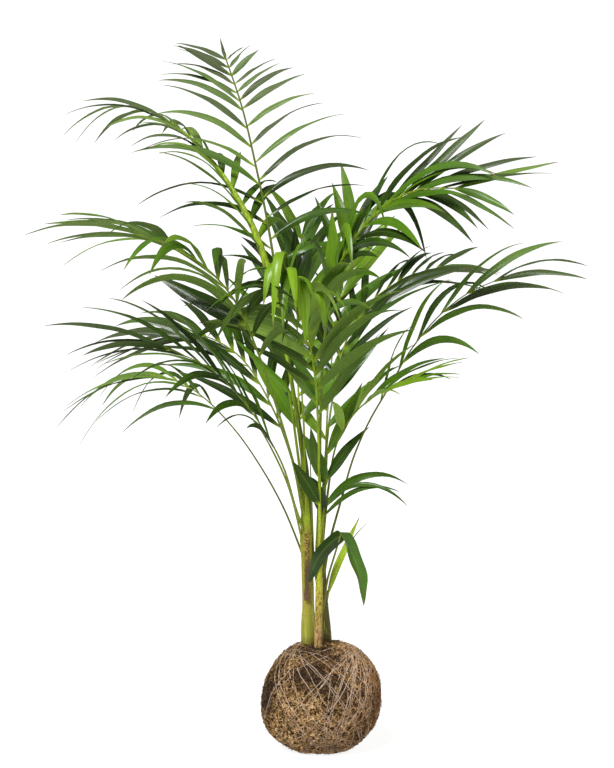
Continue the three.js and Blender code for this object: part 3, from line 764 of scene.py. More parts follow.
def coir_tint(f, tone):
    """The colour of a flake or strand of coir, from its own tone of 0 to 1 and from where it lies."""
    ball = bpy.context.scene.palm_ball
    peaty, gold, right = coir_patches(f)
    grain = f.noise(f.places(), 520.0, 3.0, 0.75)
    left = f.split(f.places())[0].below(-0.06, 0.03)
    level = (tone * 0.78 + (grain - 0.5) * 1.7 + 0.04 + gold * 0.1 - peaty * 0.28 - left * 0.08).kept()
    colour = f.ramp(level, (0.0, shade("120b06")), (0.28, shade("3a2816")), (0.52, ball.coir),
                    (0.78, shade("bf9a68")), (1.0, shade("ead4ac")))
    husk = f.mix(level, shade("2a170c"), ball.husk)
    return f.coats(colour, (right * 0.5, husk), (peaty * 0.55, ball.peat)), grain


def coir_finish():
    f = Finish.of("coir", Roughness=0.95, Specular_IOR_Level=0.1)
    crumbs = f.cells(f.places(), 420.0)
    colour, grain = coir_tint(f, crumbs * 0.55)
    f.relief(grain + crumbs * 0.6, 0.002)
    return f.wear(Base_Color=colour)


def chip_finish(name):
    f = Finish.of(name, Roughness=0.9, Specular_IOR_Level=0.15)
    tone, _ = f.map_of("Chip")
    colour, grain = coir_tint(f, tone)
    f.relief(grain, 0.0008)
    return f.wear(Base_Color=colour)


def make_ball():
    deselect_all()
    bpy.ops.mesh.primitive_ico_sphere_add(subdivisions=BALL_SUBDIVISIONS, radius=1.0)
    ball = name_it("coir_ball")
    directions = unit(corners_of(ball))
    points = ball_points(directions)
    lift = np.array([sum(height * rough(p, size) for height, size in (ROUGH_COARSE, ROUGH_FINE))
                     for p in points])
    points += directions * (lift - ROUGH_SUNK)[:, None]
    move_corners(ball, points * MM)
    hold_above(ball, 0)
    smooth(ball)
    return declare(ball, "coir", [coir_finish()], "root_ball")


def chip_shape():
    """One bevelled flake, a unit long, wide and thick."""
    deselect_all()
    bpy.ops.mesh.primitive_cube_add(size=1.0)
    chip = name_it("chip_pattern")
    edit_all(chip, bpy.ops.mesh.bevel, offset=FLAKE_BEVEL, segments=1)
    return taken_apart(chip)


def strewn(name, pattern, faces, places, tones):
    """Copies of a pattern, each laid by its own 3 by 3 matrix and middle, as one object."""
    points, every = [], []
    for k, (matrix, middle) in enumerate(places):
        points.append(pattern @ matrix.T + middle)
        every.extend(shifted(faces, k * len(pattern)))
    obj = mesh_of(name, np.concatenate(points), every)
    corners = sum(len(face) for face in faces)
    paint_map(obj, "Chip", np.repeat(np.array(tones), corners, axis=0))
    return obj


def heading_on(d, turn, helper):
    """A way along the ball's surface at d, turned by turn from the one across helper."""
    side = unit(np.cross(d, helper))
    return math.cos(turn) * side + math.sin(turn) * np.cross(d, side)


def make_chips():
    """Flakes strewn over the ball, each tilted and sunk a little."""
    rng = random.Random(FLAKE_SEED)
    pattern, faces = chip_shape()
    directions = scattered(rng, bpy.context.scene.palm_ball.chips, FLAKES_LOWEST)
    middles = ball_points(directions, FLAKE_SUNK)
    keep = clear_of_canes(middles, FLAKES_CLEAR)
    places, tones = [], []
    for d, middle in zip(directions[keep], middles[keep]):
        along = heading_on(d, rng.uniform(0, 2 * math.pi), CHIP_HELPER)
        out = unit(d + rng.uniform(-FLAKE_TILT, FLAKE_TILT) * along)
        along = unit(along - out * (along @ out))
        across = np.cross(out, along)
        length = rng.uniform(*FLAKE_LENGTH)
        size = (length, length * rng.uniform(*FLAKE_BREADTH), rng.uniform(*FLAKE_THICKNESS))
        places.append((np.stack([along * size[0], across * size[1], out * size[2]], axis=1), middle))
        tones.append((rng.random(), rng.random()))
    chips = strewn("coir_chips", pattern, faces, places, tones)
    hold_above(chips, 0)
    return declare(chips, "coir", [chip_finish("coir_chips")])


def strand(path, radius, sides=3):
    """Rings of a thin strand through path, as points and faces."""
    path = np.asarray(path)
    way = unit(np.gradient(path, axis=0))
    side = unit(np.cross(way, unit(path - np.array([0, 0, BALL_CENTRE_HEIGHT]))))
    over = np.cross(side, way)
    points = []
    for k in range(sides):
        angle = 2 * math.pi * k / sides
        points.append(path + radius * (math.cos(angle) * side + math.sin(angle) * over))
    count = len(path)
    points = np.stack(points, axis=1).reshape(-1, 3)
    faces = []
    for low in range(0, (count - 1) * sides, sides):
        for k in range(sides):
            t = (k + 1) % sides
            faces.append([low + k, low + t, low + sides + t, low + sides + k])
    faces.append(list(range(sides))[::-1])
    faces.append([(count - 1) * sides + k for k in range(sides)])
    return points, faces


def make_fibres():
    """Thin strands that lie on the ball; every third one or so lifts its ends."""
    rng = random.Random(FIBRE_SEED)
    directions = scattered(rng, bpy.context.scene.palm_ball.fibres, FIBRES_LOWEST)
    points, faces, tones = [], [], []
    total = 0
    share = np.linspace(-0.5, 0.5, FIBRE_STEPS)
    for d in directions:
        along = heading_on(d, rng.uniform(0, 2 * math.pi), FIBRE_HELPER)
        bend = rng.uniform(-FIBRE_BEND, FIBRE_BEND)
        length = rng.uniform(*FIBRE_LENGTH) / BALL_RADIUS
        sideways = length * bend * (share ** 2)[:, None] * np.cross(d, along)
        heading = d + length * share[:, None] * along + sideways
        lift = rng.uniform(*FIBRE_LIFT)
        lift = lift + rng.uniform(*FIBRE_END_LIFT) * (share * 2) ** 4 * rng.choice((0, 0, 1))
        path = ball_points(unit(heading)) + unit(heading) * lift[:, None]
        path[:, 2] = np.maximum(path[:, 2], FIBRE_LEAST_HEIGHT)
        if not clear_of_canes(path, FIBRES_CLEAR).all():
            continue
        made, closed = strand(path, rng.uniform(*FIBRE_RADIUS))
        points.append(made)
        faces.extend(shifted(closed, total))
        tone = FIBRE_TONE[0] + FIBRE_TONE[1] * rng.random()
        tones.extend([(tone, rng.random())] * sum(len(face) for face in closed))
        total += len(made)
    fibres = mesh_of("coir_fibres", np.concatenate(points), faces)
    paint_map(fibres, "Chip", tones)
    smooth(fibres, FIBRE_SMOOTH)
    return declare(fibres, "coir", [chip_finish("coir_fibres")])


# ---- the thread ----
THREAD_SEED = 5
THREAD_STEPS, THREAD_SIDES = 84, 5
THREAD_SIZE = (0.7, 1.1)  # shares of the thread's width
THREAD_HALF_WIDTH, THREAD_HALF_HEIGHT = 0.5, 0.34
THREAD_LIFT, THREAD_UNEVEN, THREAD_SWAY, THREAD_WAVE = 0.6, 0.9, 0.03, 24.0
THREAD_LEAST_HEIGHT = 0.2
THREAD_SHIFT = 31  # keeps the waves of two loops apart
TURNS_A_STEP = 2.0  # of the twine's twist
# how far from straight on a loop of thread faces, in radians, and how far from the ball's top and foot
# it passes, in degrees, for crosswise and for upright loops
CROSSWISE = {"facing": (-1.0, 1.0), "top": (19, 40), "foot": (28, 50)}
UPRIGHT = {"facing": (-0.85, 0.5), "top": (19, 44), "foot": (-55, 12)}


def thread_finish():
    f = Finish.of("binding_thread", Roughness=0.8)
    along, around = f.map_of("Twist")
    # ply is highest in the grooves between the plies, where the relief is lowest; the darker colour there
    # is painted shade.
    ply = abs((along + around).maths("FRACT") - 0.5).between(0.12, 0.5)
    dirt = f.noise(f.places(), 55.0, 3.0).between(0.4, 0.75)
    low = f.split(f.places())[2].below(0.03, 0.11)
    f.relief(1.0 - ply, 0.0003)
    colour = f.coats(bpy.context.scene.palm_ball.twine, ((dirt * 0.5 + low * 0.6).kept(), "8a6e56"),
                     (ply * 0.35, "5a4936"))
    return f.wear(Base_Color=colour)


def thread_ring(heading, top_angle, foot_angle, steps):
    """Directions of a loop that passes top_angle from the top and foot_angle from the foot."""
    out = np.array([math.cos(heading), math.sin(heading), 0])
    high = out * math.sin(top_angle) + UP * math.cos(top_angle)
    low = -out * math.sin(foot_angle) - UP * math.cos(foot_angle)
    middle, along = (high + low) / 2, (high - low) / 2
    side = np.cross(UP, out)
    reach = math.sqrt(1 - middle @ middle)
    angle = np.linspace(0, 2 * math.pi, steps, endpoint=False)[:, None]
    return unit(middle + reach * (np.cos(angle) * unit(along) + np.sin(angle) * side))


def make_thread():
    rng = random.Random(THREAD_SEED)
    settings = bpy.context.scene.palm_ball
    width = settings.thread_width / MM
    crossing = settings.loops * 2 // 3
    points, faces, twists = [], [], []
    for k in range(settings.loops):
        heading = math.pi * (k % 2) + rng.uniform(*CROSSWISE["facing"])
        top_angle = rng.uniform(*CROSSWISE["top"])
        foot_angle = rng.uniform(*CROSSWISE["foot"])
        if k >= crossing:
            heading = rng.uniform(*UPRIGHT["facing"])
            foot_angle = rng.uniform(*UPRIGHT["foot"])
            top_angle = rng.uniform(*UPRIGHT["top"])
        ring = thread_ring(heading, math.radians(top_angle), math.radians(foot_angle), THREAD_STEPS)
        wobble = np.array([rough(d * BALL_RADIUS + k * THREAD_SHIFT, THREAD_WAVE) for d in ring])
        way = unit(np.roll(ring, -1, axis=0) - np.roll(ring, 1, axis=0))
        ring = unit(ring + THREAD_SWAY * wobble[:, None] * np.cross(way, ring))
        path = ball_points(ring) + ring * (THREAD_LIFT + THREAD_UNEVEN * wobble)[:, None]
        size = width * rng.uniform(*THREAD_SIZE)
        side = np.cross(way, ring)
        for s in range(THREAD_SIDES):
            angle = 2 * math.pi * s / THREAD_SIDES
            out = THREAD_HALF_WIDTH * math.cos(angle) * side + THREAD_HALF_HEIGHT * math.sin(angle) * ring
            points.append(path + size * out)
        base = k * THREAD_SIDES * THREAD_STEPS
        for i in range(THREAD_STEPS):
            j = (i + 1) % THREAD_STEPS
            low, high = i * TURNS_A_STEP, (i + 1) * TURNS_A_STEP
            for s in range(THREAD_SIDES):
                a, b = base + s * THREAD_STEPS, base + (s + 1) % THREAD_SIDES * THREAD_STEPS
                faces.append([a + i, b + i, b + j, a + j])
                near, far = s / THREAD_SIDES, (s + 1) / THREAD_SIDES
                twists.extend([(low, near), (low, far), (high, far), (high, near)])
    thread = mesh_of("binding_thread_net", np.concatenate(points), faces)
    paint_map(thread, "Twist", twists)
    hold_above(thread, THREAD_LEAST_HEIGHT)
    turn_outward(thread)
    smooth(thread)
    return declare(thread, "thread", [thread_finish()], "binding_thread")


# ---- the canes ----
CANE_STEP = 1.6
CANE_HALVINGS = 24  # of the search for a height
CANE_RESOLUTION, CANE_SMOOTH = 4, 60
CANE_WELD = 1e-6  # metres
CANE_TAPER = 34  # the length over which a cane narrows to half at its top
CANE_SWELL, CANE_SWELL_LENGTH = 0.02, 9.0
SCAR_WIDTH = 1.5
HOLLOW_DEPTH, HOLLOW_ABOVE, HOLLOW_WIDTH = 0.5, 4, 2.6  # of the groove above each leaf scar
SHEATH_PEEL, SHEATH_PEEL_SHARE = 3.2, 0.16  # how far the foot stands off, and over what share
SHEATH_CURL, SHEATH_RAGGED, SHEATH_CRUMPLE = 0.8, 0.07, 0.25
SHEATH_THICKNESS, SHEATH_OUT = 0.55, 0.5
RAGGED_SIZE, CURL_SIZE, CRUMPLE_SIZE = 6.0, 11.0, 5.0
SHEATH_CURL_LEAST = 0.4
SHEATH_COLUMNS, SHEATH_ROWS, SHEATH_SMOOTH = 56, 18, 50


def cane_at(name, height):
    """The middle and the radius of a cane at a height."""
    cane = CANES[name]
    low, high = 0.0, 1.0
    for _ in range(CANE_HALVINGS):
        t = (low + high) / 2
        if spline_point(cane["axis"], t)[2] < height:
            low = t
        else:
            high = t
    radii = np.array([(r, 0, 0) for r in cane["radii"]], float)
    return spline_point(cane["axis"], low), spline_point(radii, low)[0]


def streaks(f, across, along, detail=3.0):
    """Marks that run up the piece: across and along are cycles a metre."""
    return f.noise(f.places((across, across, along)), 1.0, detail)


def cane_finish(name):
    stem = bpy.context.scene.palm_stem
    f = Finish.of(name, Roughness=0.5, Specular_IOR_Level=0.3)
    fine = streaks(f, 800.0, 16.0)
    broad = streaks(f, 150.0, 12.0)
    height = f.split(f.places())[2]
    mottle = f.noise(f.places(), 420.0, 2.0, 0.7)
    colour = f.coats(stem.green, ((fine * 2.2 - 0.7).kept() * 0.7, stem.olive),
                     (broad.between(0.5, 0.6) * 0.6, "b4b044"))
    if name == "cane_right":
        dark = f.mix(broad.between(0.52, 0.6), shade("38340c"), shade("a4a82c"))
        colour = f.mix(0.85, colour, dark)
    else:
        colour = f.coats(colour, (height.between(0.165, 0.2) * 0.6, "98862e"),
                         (height.between(0.275, 0.305) * 0.75, "8eac26"))
    for ring in CANES[name]["rings"]:
        away = abs(height - ring * MM)
        colour = f.coats(colour, (away.below(0.0004, 0.002) * 0.3, "7c6a3a"))
    scuffs = mottle.between(0.54, 0.62) * height.between(0.16, 0.24) * height.below(0.28, 0.3)
    soil = height.below(0.136, 0.15) * mottle.between(0.3, 0.6)
    colour = f.coats(colour, (scuffs * 0.6, "6b4f22"), (soil * 0.85, "3c2a1a"))
    f.relief(fine + mottle * 0.3, 0.0008)
    return f.wear(Base_Color=colour, Roughness=0.42 + scuffs * 0.35 + soil * 0.2)


def straw_finish():
    stem = bpy.context.scene.palm_stem
    f = Finish.of("cane_straw", Roughness=0.7, Specular_IOR_Level=0.2)
    fine = streaks(f, 900.0, 16.0)
    height = f.split(f.places())[2]
    blots = f.noise(f.places((1.5, 1.5, 0.6)), 330.0, 3.0, 0.7)
    bands = f.noise(f.places((1.0, 1.0, 0.25)), 90.0, 2.0)
    brown = blots.between(0.44, 0.58) * bands.between(0.36, 0.54)
    soil = height.below(0.134, 0.15) * 0.7 * blots.between(0.35, 0.6)
    colour = f.coats(
        stem.straw, ((fine * 2.0 - 0.6).kept() * 0.7, "7c6230"), (height.below(0.15, 0.18), "a88c58"),
        (height.between(0.16, 0.2) * 0.75, "b4b040"), (brown * 0.85, stem.blotch), (soil, "4a3522"),
    )
    f.relief(fine + blots * 0.8, 0.001)
    return f.wear(Base_Color=colour, Roughness=0.6 + brown * 0.25)


def make_cane(name):
    stem = bpy.context.scene.palm_stem
    bottom, top = CANES[name]["axis"][0][2], CANES[name]["axis"][-1][2]
    centres, radii = [], []
    for z in np.arange(bottom, top + 0.1, CANE_STEP):
        middle, radius = cane_at(name, z)
        above = [z - ring for ring in CANES[name]["rings"]]
        scar = sum(math.exp(-((a / SCAR_WIDTH) ** 2))
                   - HOLLOW_DEPTH * math.exp(-(((a - HOLLOW_ABOVE) / HOLLOW_WIDTH) ** 2)) for a in above)
        swell = 1 + CANE_SWELL * math.sin(z / CANE_SWELL_LENGTH + len(name))
        taper = 1 - 0.5 * eased((z - (top - CANE_TAPER)) / CANE_TAPER)
        centres.append(middle)
        radii.append((radius * swell + scar * stem.ring_height / MM) * taper)
    cane = round_bar(name + "_stem", centres, radii, CANE_RESOLUTION)
    merge_doubles(cane, CANE_WELD)
    turn_outward(cane)
    smooth(cane, CANE_SMOOTH)
    if name == "cane_middle":
        return declare(cane, "cane_straw", [straw_finish()], name)
    return declare(cane, "cane_green", [cane_finish(name)], name)


def sheath_finish():
    stem = bpy.context.scene.palm_stem
    f = Finish.of("dry_sheath", Roughness=0.75, Specular_IOR_Level=0.25)
    fine = streaks(f, 1300.0, 16.0, 4.0)
    spots = f.noise(f.places(), 560.0, 2.0, 0.7)
    aside, _, height = f.split(f.places())
    ragged = aside + (fine - 0.5) * 0.004 + (spots - 0.5) * 0.003
    strip = ragged.between(-0.0235, -0.0222) * ragged.below(-0.0166, -0.0152)
    strip = (strip + height.below(0.2, 0.214)).kept()
    green = f.coats(stem.green, ((fine * 2.0 - 0.6).kept() * 0.6, "6f8418"),
                    (spots.between(0.5, 0.6) * 0.7, "7a5a26"))
    brown = f.coats(stem.sheath, ((fine * 1.8 - 0.4).kept(), "3a2717"),
                    (spots.between(0.47, 0.6) * height.between(0.232, 0.262), "b0983e"))
    f.relief(fine + spots * 0.4, 0.0006)
    return f.wear(Base_Color=f.mix(strip, green, brown))


def make_sheath():
    deselect_all()
    bpy.ops.mesh.primitive_grid_add(x_subdivisions=SHEATH_COLUMNS, y_subdivisions=SHEATH_ROWS, size=1.0)
    sheath = name_it("dry_sheath_strip")
    flat = corners_of(sheath)
    points = []
    for share, side in zip(flat[:, 0] + 0.5, flat[:, 1] * 2):
        height = mixed(SHEATH_FROM, SHEATH_TO, share)
        middle, radius = cane_at("cane_left", height)
        ragged = 1 + SHEATH_RAGGED * rough((height * 0.9, side * 3, 4.0), RAGGED_SIZE) * abs(side)
        half = math.radians(SHEATH_HALF_ARC) * math.sqrt(mixed(SHEATH_FOOT_SHARE, 1, share)) * ragged
        angle = math.radians(SHEATH_MIDDLE) + side * half
        curl = SHEATH_CURL * abs(side) ** 3 * (SHEATH_CURL_LEAST + rough((height, 0, 9), CURL_SIZE))
        peel = SHEATH_PEEL * (1 - eased(share / SHEATH_PEEL_SHARE)) + curl
        crumple = SHEATH_CRUMPLE * rough((height, side * 9, 2), CRUMPLE_SIZE)
        reach = radius + SHEATH_GAP + SHEATH_OUT + max(peel, 0) + crumple
        points.append(middle + reach * np.array([math.cos(angle), math.sin(angle), 0]))
    move_corners(sheath, np.array(points) * MM)
    middle, _ = cane_at("cane_left", (SHEATH_FROM + SHEATH_TO) / 2)
    face = sheath.data.polygons[len(sheath.data.polygons) // 2]
    if face.normal.dot(face.center - Vector(middle * MM)) < 0:
        sheath.data.flip_normals()
    apply_modifier(sheath, "Thickness", "SOLIDIFY", thickness=SHEATH_THICKNESS * MM, offset=0)
    smooth(sheath, SHEATH_SMOOTH)
    return declare(sheath, "dry_sheath", [sheath_finish()], "dry_sheath")


# ---- the fronds ----
FOOT_SWELL, FOOT_SWELL_SHARE = 1.1, 0.1  # how much thicker a stalk is at its foot
CLASP_DROPS, CLASP_REACH = (64, 52, 40, 28, 16, 7), 70  # how far a stalk's foot clasps the cane below it
CLASP_LOWEST, CLASP_SUNK, CLASP_END_RADIUS = 160, (3.2, 2.2), 1.2
ROUND_RISE, ROUND_FALL, ROUND_LEAST = 0.07, 0.9, 0.02  # the outline of a blade with a round foot
OUTLINE_RISE, OUTLINE_FALL = 0.8, 0.85
BLADE_TWIST, BLADE_SWAY, SWAYS = 16, 5, 9  # degrees, and how often it sways
BLADE_WAVE, BLADE_CURL = 0.05, 0.04  # shares of the width
WAVES, WAVE_SHIFT = 2.3, 0.37
FOLD_DROP, FOLD_NARROWING = 1.4, 0.15
FOOT_FOLD, FOOT_FOLD_SHARE = 0.42, 0.3
FOOT_WIDTH = 0.12  # the share of a blade's width at its foot
FOOT_BACK, FOOT_BACK_SHARE = 4.5, 0.12  # how far a round-footed blade reaches back
FOOT_BOW = 4.0  # and how far it bows out
HALF_PAIR_NUMBER, LONE_NUMBER, END_NUMBER = 40, 60, 97  # vary the leaflets that no solid has
END_ANGLE, END_DROOP, END_ROLL = 4, 0.1, 0.5  # of the last leaflet
STALK_FOOT, FOOT_RINGS, STALK_RINGS = 0.3, 14, 36  # the foot's share of a stalk, and both's rings
LONG_ROUTE = 6  # the points of a route that has the whole swell
SPEAR_RINGS, SPEAR_TAPER = 24, ((0, 0.6, 1), (1, 0.85, 0.12))
BLADE_CELLS, BLADE_EVENED = 4, 0.45  # cells across, and how far the rows gather at both ends
STRAP_PLACES = 8
PAST_STALK_COLOUR = 0.14  # the share of a blade that its stalk's colour takes
BLADE_WELD, FROND_SMOOTH = 2e-5, 55  # metres and degrees


def vary(frond, leaflet, use):
    """A repeatable number from -1 to 1, by the same sum as in the solids."""
    seed = (frond * 7919 + leaflet * 4271 + use * 3253 + 1013) % 9973
    return ((seed * seed + 37 * seed) % 9973) / 4986.5 - 1


def stalk_frame(frond, t):
    """The stalk's own three ways at t: ahead, over its upper side, and across."""
    ahead = spline_way(frond["route"], t)
    face = np.array(frond["face"], float)
    over = unit(face - (face @ ahead) * ahead)
    return ahead, over, np.cross(ahead, over)


def stalk_radius(frond, t):
    """How thick the scene draws a stalk, which is thinner than its solid but for one."""
    if "stalk_radii" in frond:
        return float(np.interp(t, *frond["stalk_radii"]))
    bare, slim = frond["bare"], frond["stalk"][0]
    if t < bare:
        return slim * mixed(STALK_BASE, STALK_BARE, t / bare)
    return slim * mixed(STALK_BARE, STALK_TIP, (t - bare) / (1 - bare))


def stalk_middle(frond, t):
    """A point of the stalk as its solid has it, straight from ring to ring."""
    k = min(int(t * STALK_STEPS), STALK_STEPS - 1)
    low = spline_point(frond["route"], k / STALK_STEPS)
    high = spline_point(frond["route"], (k + 1) / STALK_STEPS)
    return mixed(low, high, t * STALK_STEPS - k)


def reach_at(reach, f):
    """The length of a leaflet at the share f of the leafy part."""
    first, most, last = reach
    rise = min(f / LONGEST_AT, 1)
    fall = max((f - LONGEST_AT) / (1 - LONGEST_AT), 0)
    return mixed(mixed(first, most, math.sin(math.pi / 2 * rise)), last, fall ** SHORTENING)


def leaflet_plan(frond, index, pair, side):
    """Where one leaflet starts, the way it sets out, and its sizes."""
    f = pair / (frond["pairs"] - 1) if frond["pairs"] > 1 else 0.5
    number = int(2 * pair) + (1 if side > 0 else 0) + (HALF_PAIR_NUMBER if pair % 1 else 0)
    varied = {use: size * vary(index, number, k + 1) for k, (use, size) in enumerate(VARIED_IN_ORDER)}
    stagger = STAGGER * side / frond["pairs"]
    bare = frond["bare"]
    t = min(mixed(bare, TIP_SHARE, f) + stagger * (1 - bare) * (1 - f), TIP_SHARE)
    ahead, over, across = stalk_frame(frond, t)
    left = "_left" if side < 0 else ""
    length = reach_at(frond.get("reach" + left, frond["reach"]), f) * (1 + varied["length"])
    width = frond["width"] * frond.get("broad" + left, 1)
    droop = mixed(*frond.get("droop" + left, frond["droop"]), f)
    share = length / max(frond["reach"])
    fresh = frond.get("fresh" + left, frond["fresh"])
    return {
        "t": t,
        "number": number,
        "start": stalk_middle(frond, t),
        "ahead": ahead,
        "over": over,
        "across": across * side,
        "angle": mixed(*frond["ahead"], f) + frond.get("skew", 0) * side + varied["angle"],
        "lift": frond["lift"] + varied["lift"],
        "length": length,
        "width": width * mixed(LEAST_WIDTH, 1, share) * (1 + varied["width"]),
        "fresh": mixed(*fresh, f) if isinstance(fresh, tuple) else fresh,
        "droop": droop * mixed(LEAST_DROOP, 1, share) * (1 + varied["droop"]),
        "roll": math.radians(varied["roll"]),
        "turn": frond["turn"],
    }


def leaflet_arcs(plan):
    """The rib for every way of laying a leaflet: its places, its ways and its upper normals."""
    shorter, raised, swung = CHOICES.T
    lift = np.radians(plan["lift"] + raised)
    angle = np.radians(plan["angle"] + swung)
    set_out = (np.cos(angle)[:, None] * plan["ahead"]
               + (np.sin(angle) * np.cos(lift))[:, None] * plan["across"]
               + (np.sin(angle) * np.sin(lift))[:, None] * plan["over"])
    share = np.linspace(0, 1, ARC_STEPS + 1)
    sag = plan["droop"] * shorter[:, None] * share
    along = unit(set_out[:, None, :] - sag[..., None] * UP)
    step = plan["length"] * shorter / ARC_STEPS
    moves = along[:, :-1] * step[:, None, None]
    gone = np.concatenate([np.zeros((len(moves), 1, 3)), np.cumsum(moves, axis=1)], axis=1)
    turned = mixed(plan["turn"][0], plan["turn"][1], share)[:, None]
    facing = mixed(plan["over"], UP, turned)
    normal = unit(facing - (facing * along).sum(-1, keepdims=True) * along)
    normal = math.cos(plan["roll"]) * normal + math.sin(plan["roll"]) * np.cross(along, normal)
    return plan["start"] + gone, along, normal


def straight_arc(plan):
    """The rib of a leaflet that stands as planned."""
    return [part[0] for part in leaflet_arcs(plan)]


def laid_leaflet(plan, solid, stiff):
    """The rib that the solid has for this leaflet, or None if it has none; stiff lessens its droop."""
    arcs = leaflet_arcs(plan)
    away = np.linalg.norm(arcs[0][:, -1][:, None, :] - solid[None], axis=2).min(axis=1)
    fits = np.nonzero(away < MATCH_WITHIN)[0]
    if not len(fits):
        return None
    k = fits[np.argmin(away[fits])]
    if stiff != 1:
        arcs = leaflet_arcs({**plan, "droop": plan["droop"] * stiff})
    return [part[k] for part in arcs]


def strap_arc(frond, plan, arc):
    """The rib of a young leaf whose blade starts low on its stalk."""
    shares = np.linspace(frond["strap"], plan["t"], STRAP_PLACES)[:-1]
    low = [spline_point(frond["route"], t) for t in shares]
    places = np.concatenate([low, arc[0]])
    far = np.concatenate([[0], np.cumsum(np.linalg.norm(np.diff(places, axis=0), axis=1))])
    places = resampled(np.linspace(0, far[-1], ARC_STEPS + 1), far, places)
    along = unit(np.gradient(places, axis=0))
    normal = unit(plan["over"] - (along @ plan["over"])[:, None] * along)
    plan["start"] = places[0]
    return places, along, normal


def blade_outline(s, foot):
    """The width of a blade along its length, as a share of its full width."""
    if foot >= ROUND_FOOT:
        rise = np.sqrt(1 - (1 - np.clip(s / ROUND_RISE, 0, 1)) ** 2)
        fall = np.cos(math.pi / 2 * np.clip(2 * s - 1, 0, 1)) ** ROUND_FALL
        return np.maximum(rise * fall, ROUND_LEAST)
    rise = mixed(foot, 1, np.sin(math.pi / 2 * np.clip(s / WIDEST_AT, 0, 1)) ** OUTLINE_RISE)
    fall = np.cos(math.pi / 2 * np.clip((s - WIDEST_AT) / (1 - WIDEST_AT), 0, 1))
    return np.where(s < WIDEST_AT, rise, fall ** (OUTLINE_FALL * BLADE_TAPER))


def blade_pattern():
    """A flat strip of a blade, a unit long and wide: where its corners lie, and its faces."""
    deselect_all()
    stations = bpy.context.scene.palm_leaf.stations
    bpy.ops.mesh.primitive_grid_add(x_subdivisions=stations, y_subdivisions=BLADE_CELLS, size=1.0)
    points, faces = taken_apart(name_it("blade_pattern"))
    share = points[:, 0] + 0.5
    share = mixed(share, 0.5 - 0.5 * np.cos(np.pi * share), BLADE_EVENED)
    return share, points[:, 1], faces


def blade_points(share, across, arc, plan, index, frond):
    """The strip's corners, laid along a rib, folded, waved and a little twisted."""
    number = plan["number"]
    true_start = plan["start"]
    if plan["t"] is not None and "strap" not in frond:
        true_start = spline_point(frond["route"], plan["t"])
    marks = np.linspace(0, 1, ARC_STEPS + 1)
    place, way, face = (resampled(share, marks, part) for part in arc)
    place = place + (1 - share)[:, None] ** 2 * (true_start - plan["start"])
    if frond.get("foot", 0) >= ROUND_FOOT:
        place = place - way[0] * (FOOT_BACK * np.clip(1 - share / FOOT_BACK_SHARE, 0, 1) ** 1.5)[:, None]
        place = place + plan["across"] * (FOOT_BOW * np.sin(math.pi * share))[:, None]
    way, face = unit(way), unit(face)
    side = np.cross(face, way)
    sway = np.radians(BLADE_SWAY) * np.sin(SWAYS * share + number)
    twist = np.radians(BLADE_TWIST * vary(index, number, 6)) * share + sway
    c, s = np.cos(twist)[:, None], np.sin(twist)[:, None]
    side, face = c * side + s * face, c * face - s * side
    width = plan["width"] * blade_outline(share, frond.get("foot", FOOT_WIDTH))
    fold = mixed(FOOT_FOLD, bpy.context.scene.palm_leaf.fold, eased(share / FOOT_FOLD_SHARE))
    out = across * width
    edge = (2 * np.abs(across)) ** 2
    wave = BLADE_WAVE * width * np.sin(2 * math.pi * (WAVES * share + number * WAVE_SHIFT)) * edge
    rise = wave - FOLD_DROP * fold * np.abs(out) - BLADE_CURL * width * edge
    return place + side * (out * (1 - FOLD_NARROWING * fold))[:, None] + face * rise[:, None]


def leaf_finish(name, under=False):
    leaf = bpy.context.scene.palm_leaf
    f = Finish.of(name, Specular_IOR_Level=0.04 if under else 0.12, Coat_Roughness=0.24)
    along, across = f.map_of("Blade")
    chance, fresh = f.map_of("Leaflet")
    lines = f.noise(f.join(along * 2.2, across * 26.0, chance * 40.0), 1.0, 2.0)
    cloud = f.noise(f.places(), 14.0, 3.0)
    aside, _, height = f.split(f.places())
    rib = abs(across - 0.5).below(0.012, 0.06)
    # The dark end of both ramps is partly old leaflets and partly painted shade, reached by the back
    # fronds whose fresh is below 0.
    young = (fresh + (chance - 0.5) * 0.5 + (cloud - 0.5) * 0.4).kept()
    if under:
        colour = f.ramp(young, (0.0, shade("2c4016")), (0.35, leaf.under), (1.0, shade("9cba3c")))
        marks = (lines.between(0.4, 0.7) * 0.35, dimmed(leaf.under, 0.55)), (rib * 0.18, "a0b058")
    else:
        dark = dimmed(leaf.deep, 0.2)
        colour = f.ramp(young, (0.0, dark), (0.22, leaf.deep), (0.5, shade("6c9018")), (1.0, leaf.fresh))
        marks = (lines.between(0.4, 0.7) * 0.4, dark), (rib * 0.1, "9cbc38")
    # the paler top and sides, the opening leaf, the foot of each leaflet and its withered tip
    # far greys the top and sides: partly dull old leaflets and partly painted haze of the white light
    # round thin leaves.
    far = (height.between(0.72, 0.85) + abs(aside + 0.02).between(0.12, 0.3) * 0.75).kept()
    opening = (fresh * 4.0 - 4.0).kept()
    dry = (along + chance * 0.05).between(0.95, 1.0) * (0.4 + chance * 0.6)
    colour = f.coats(colour, *marks, (far * 0.36, "78805f"), (opening * 0.8, "a2bc36"),
                     (along.below(0.0, 0.11) * 0.75, leaf.stalk), (dry, leaf.tip))
    f.relief(lines * 0.6 + rib * 0.8, 0.0004)
    wax = (0.0 if under else 0.4) + (cloud - 0.5) * 0.6 - lines * 0.2 - far * 0.2
    return f.wear(Base_Color=colour, Roughness=(0.6 if under else 0.4) + lines * 0.12 + dry * 0.3,
                  Coat_Weight=wax.kept())


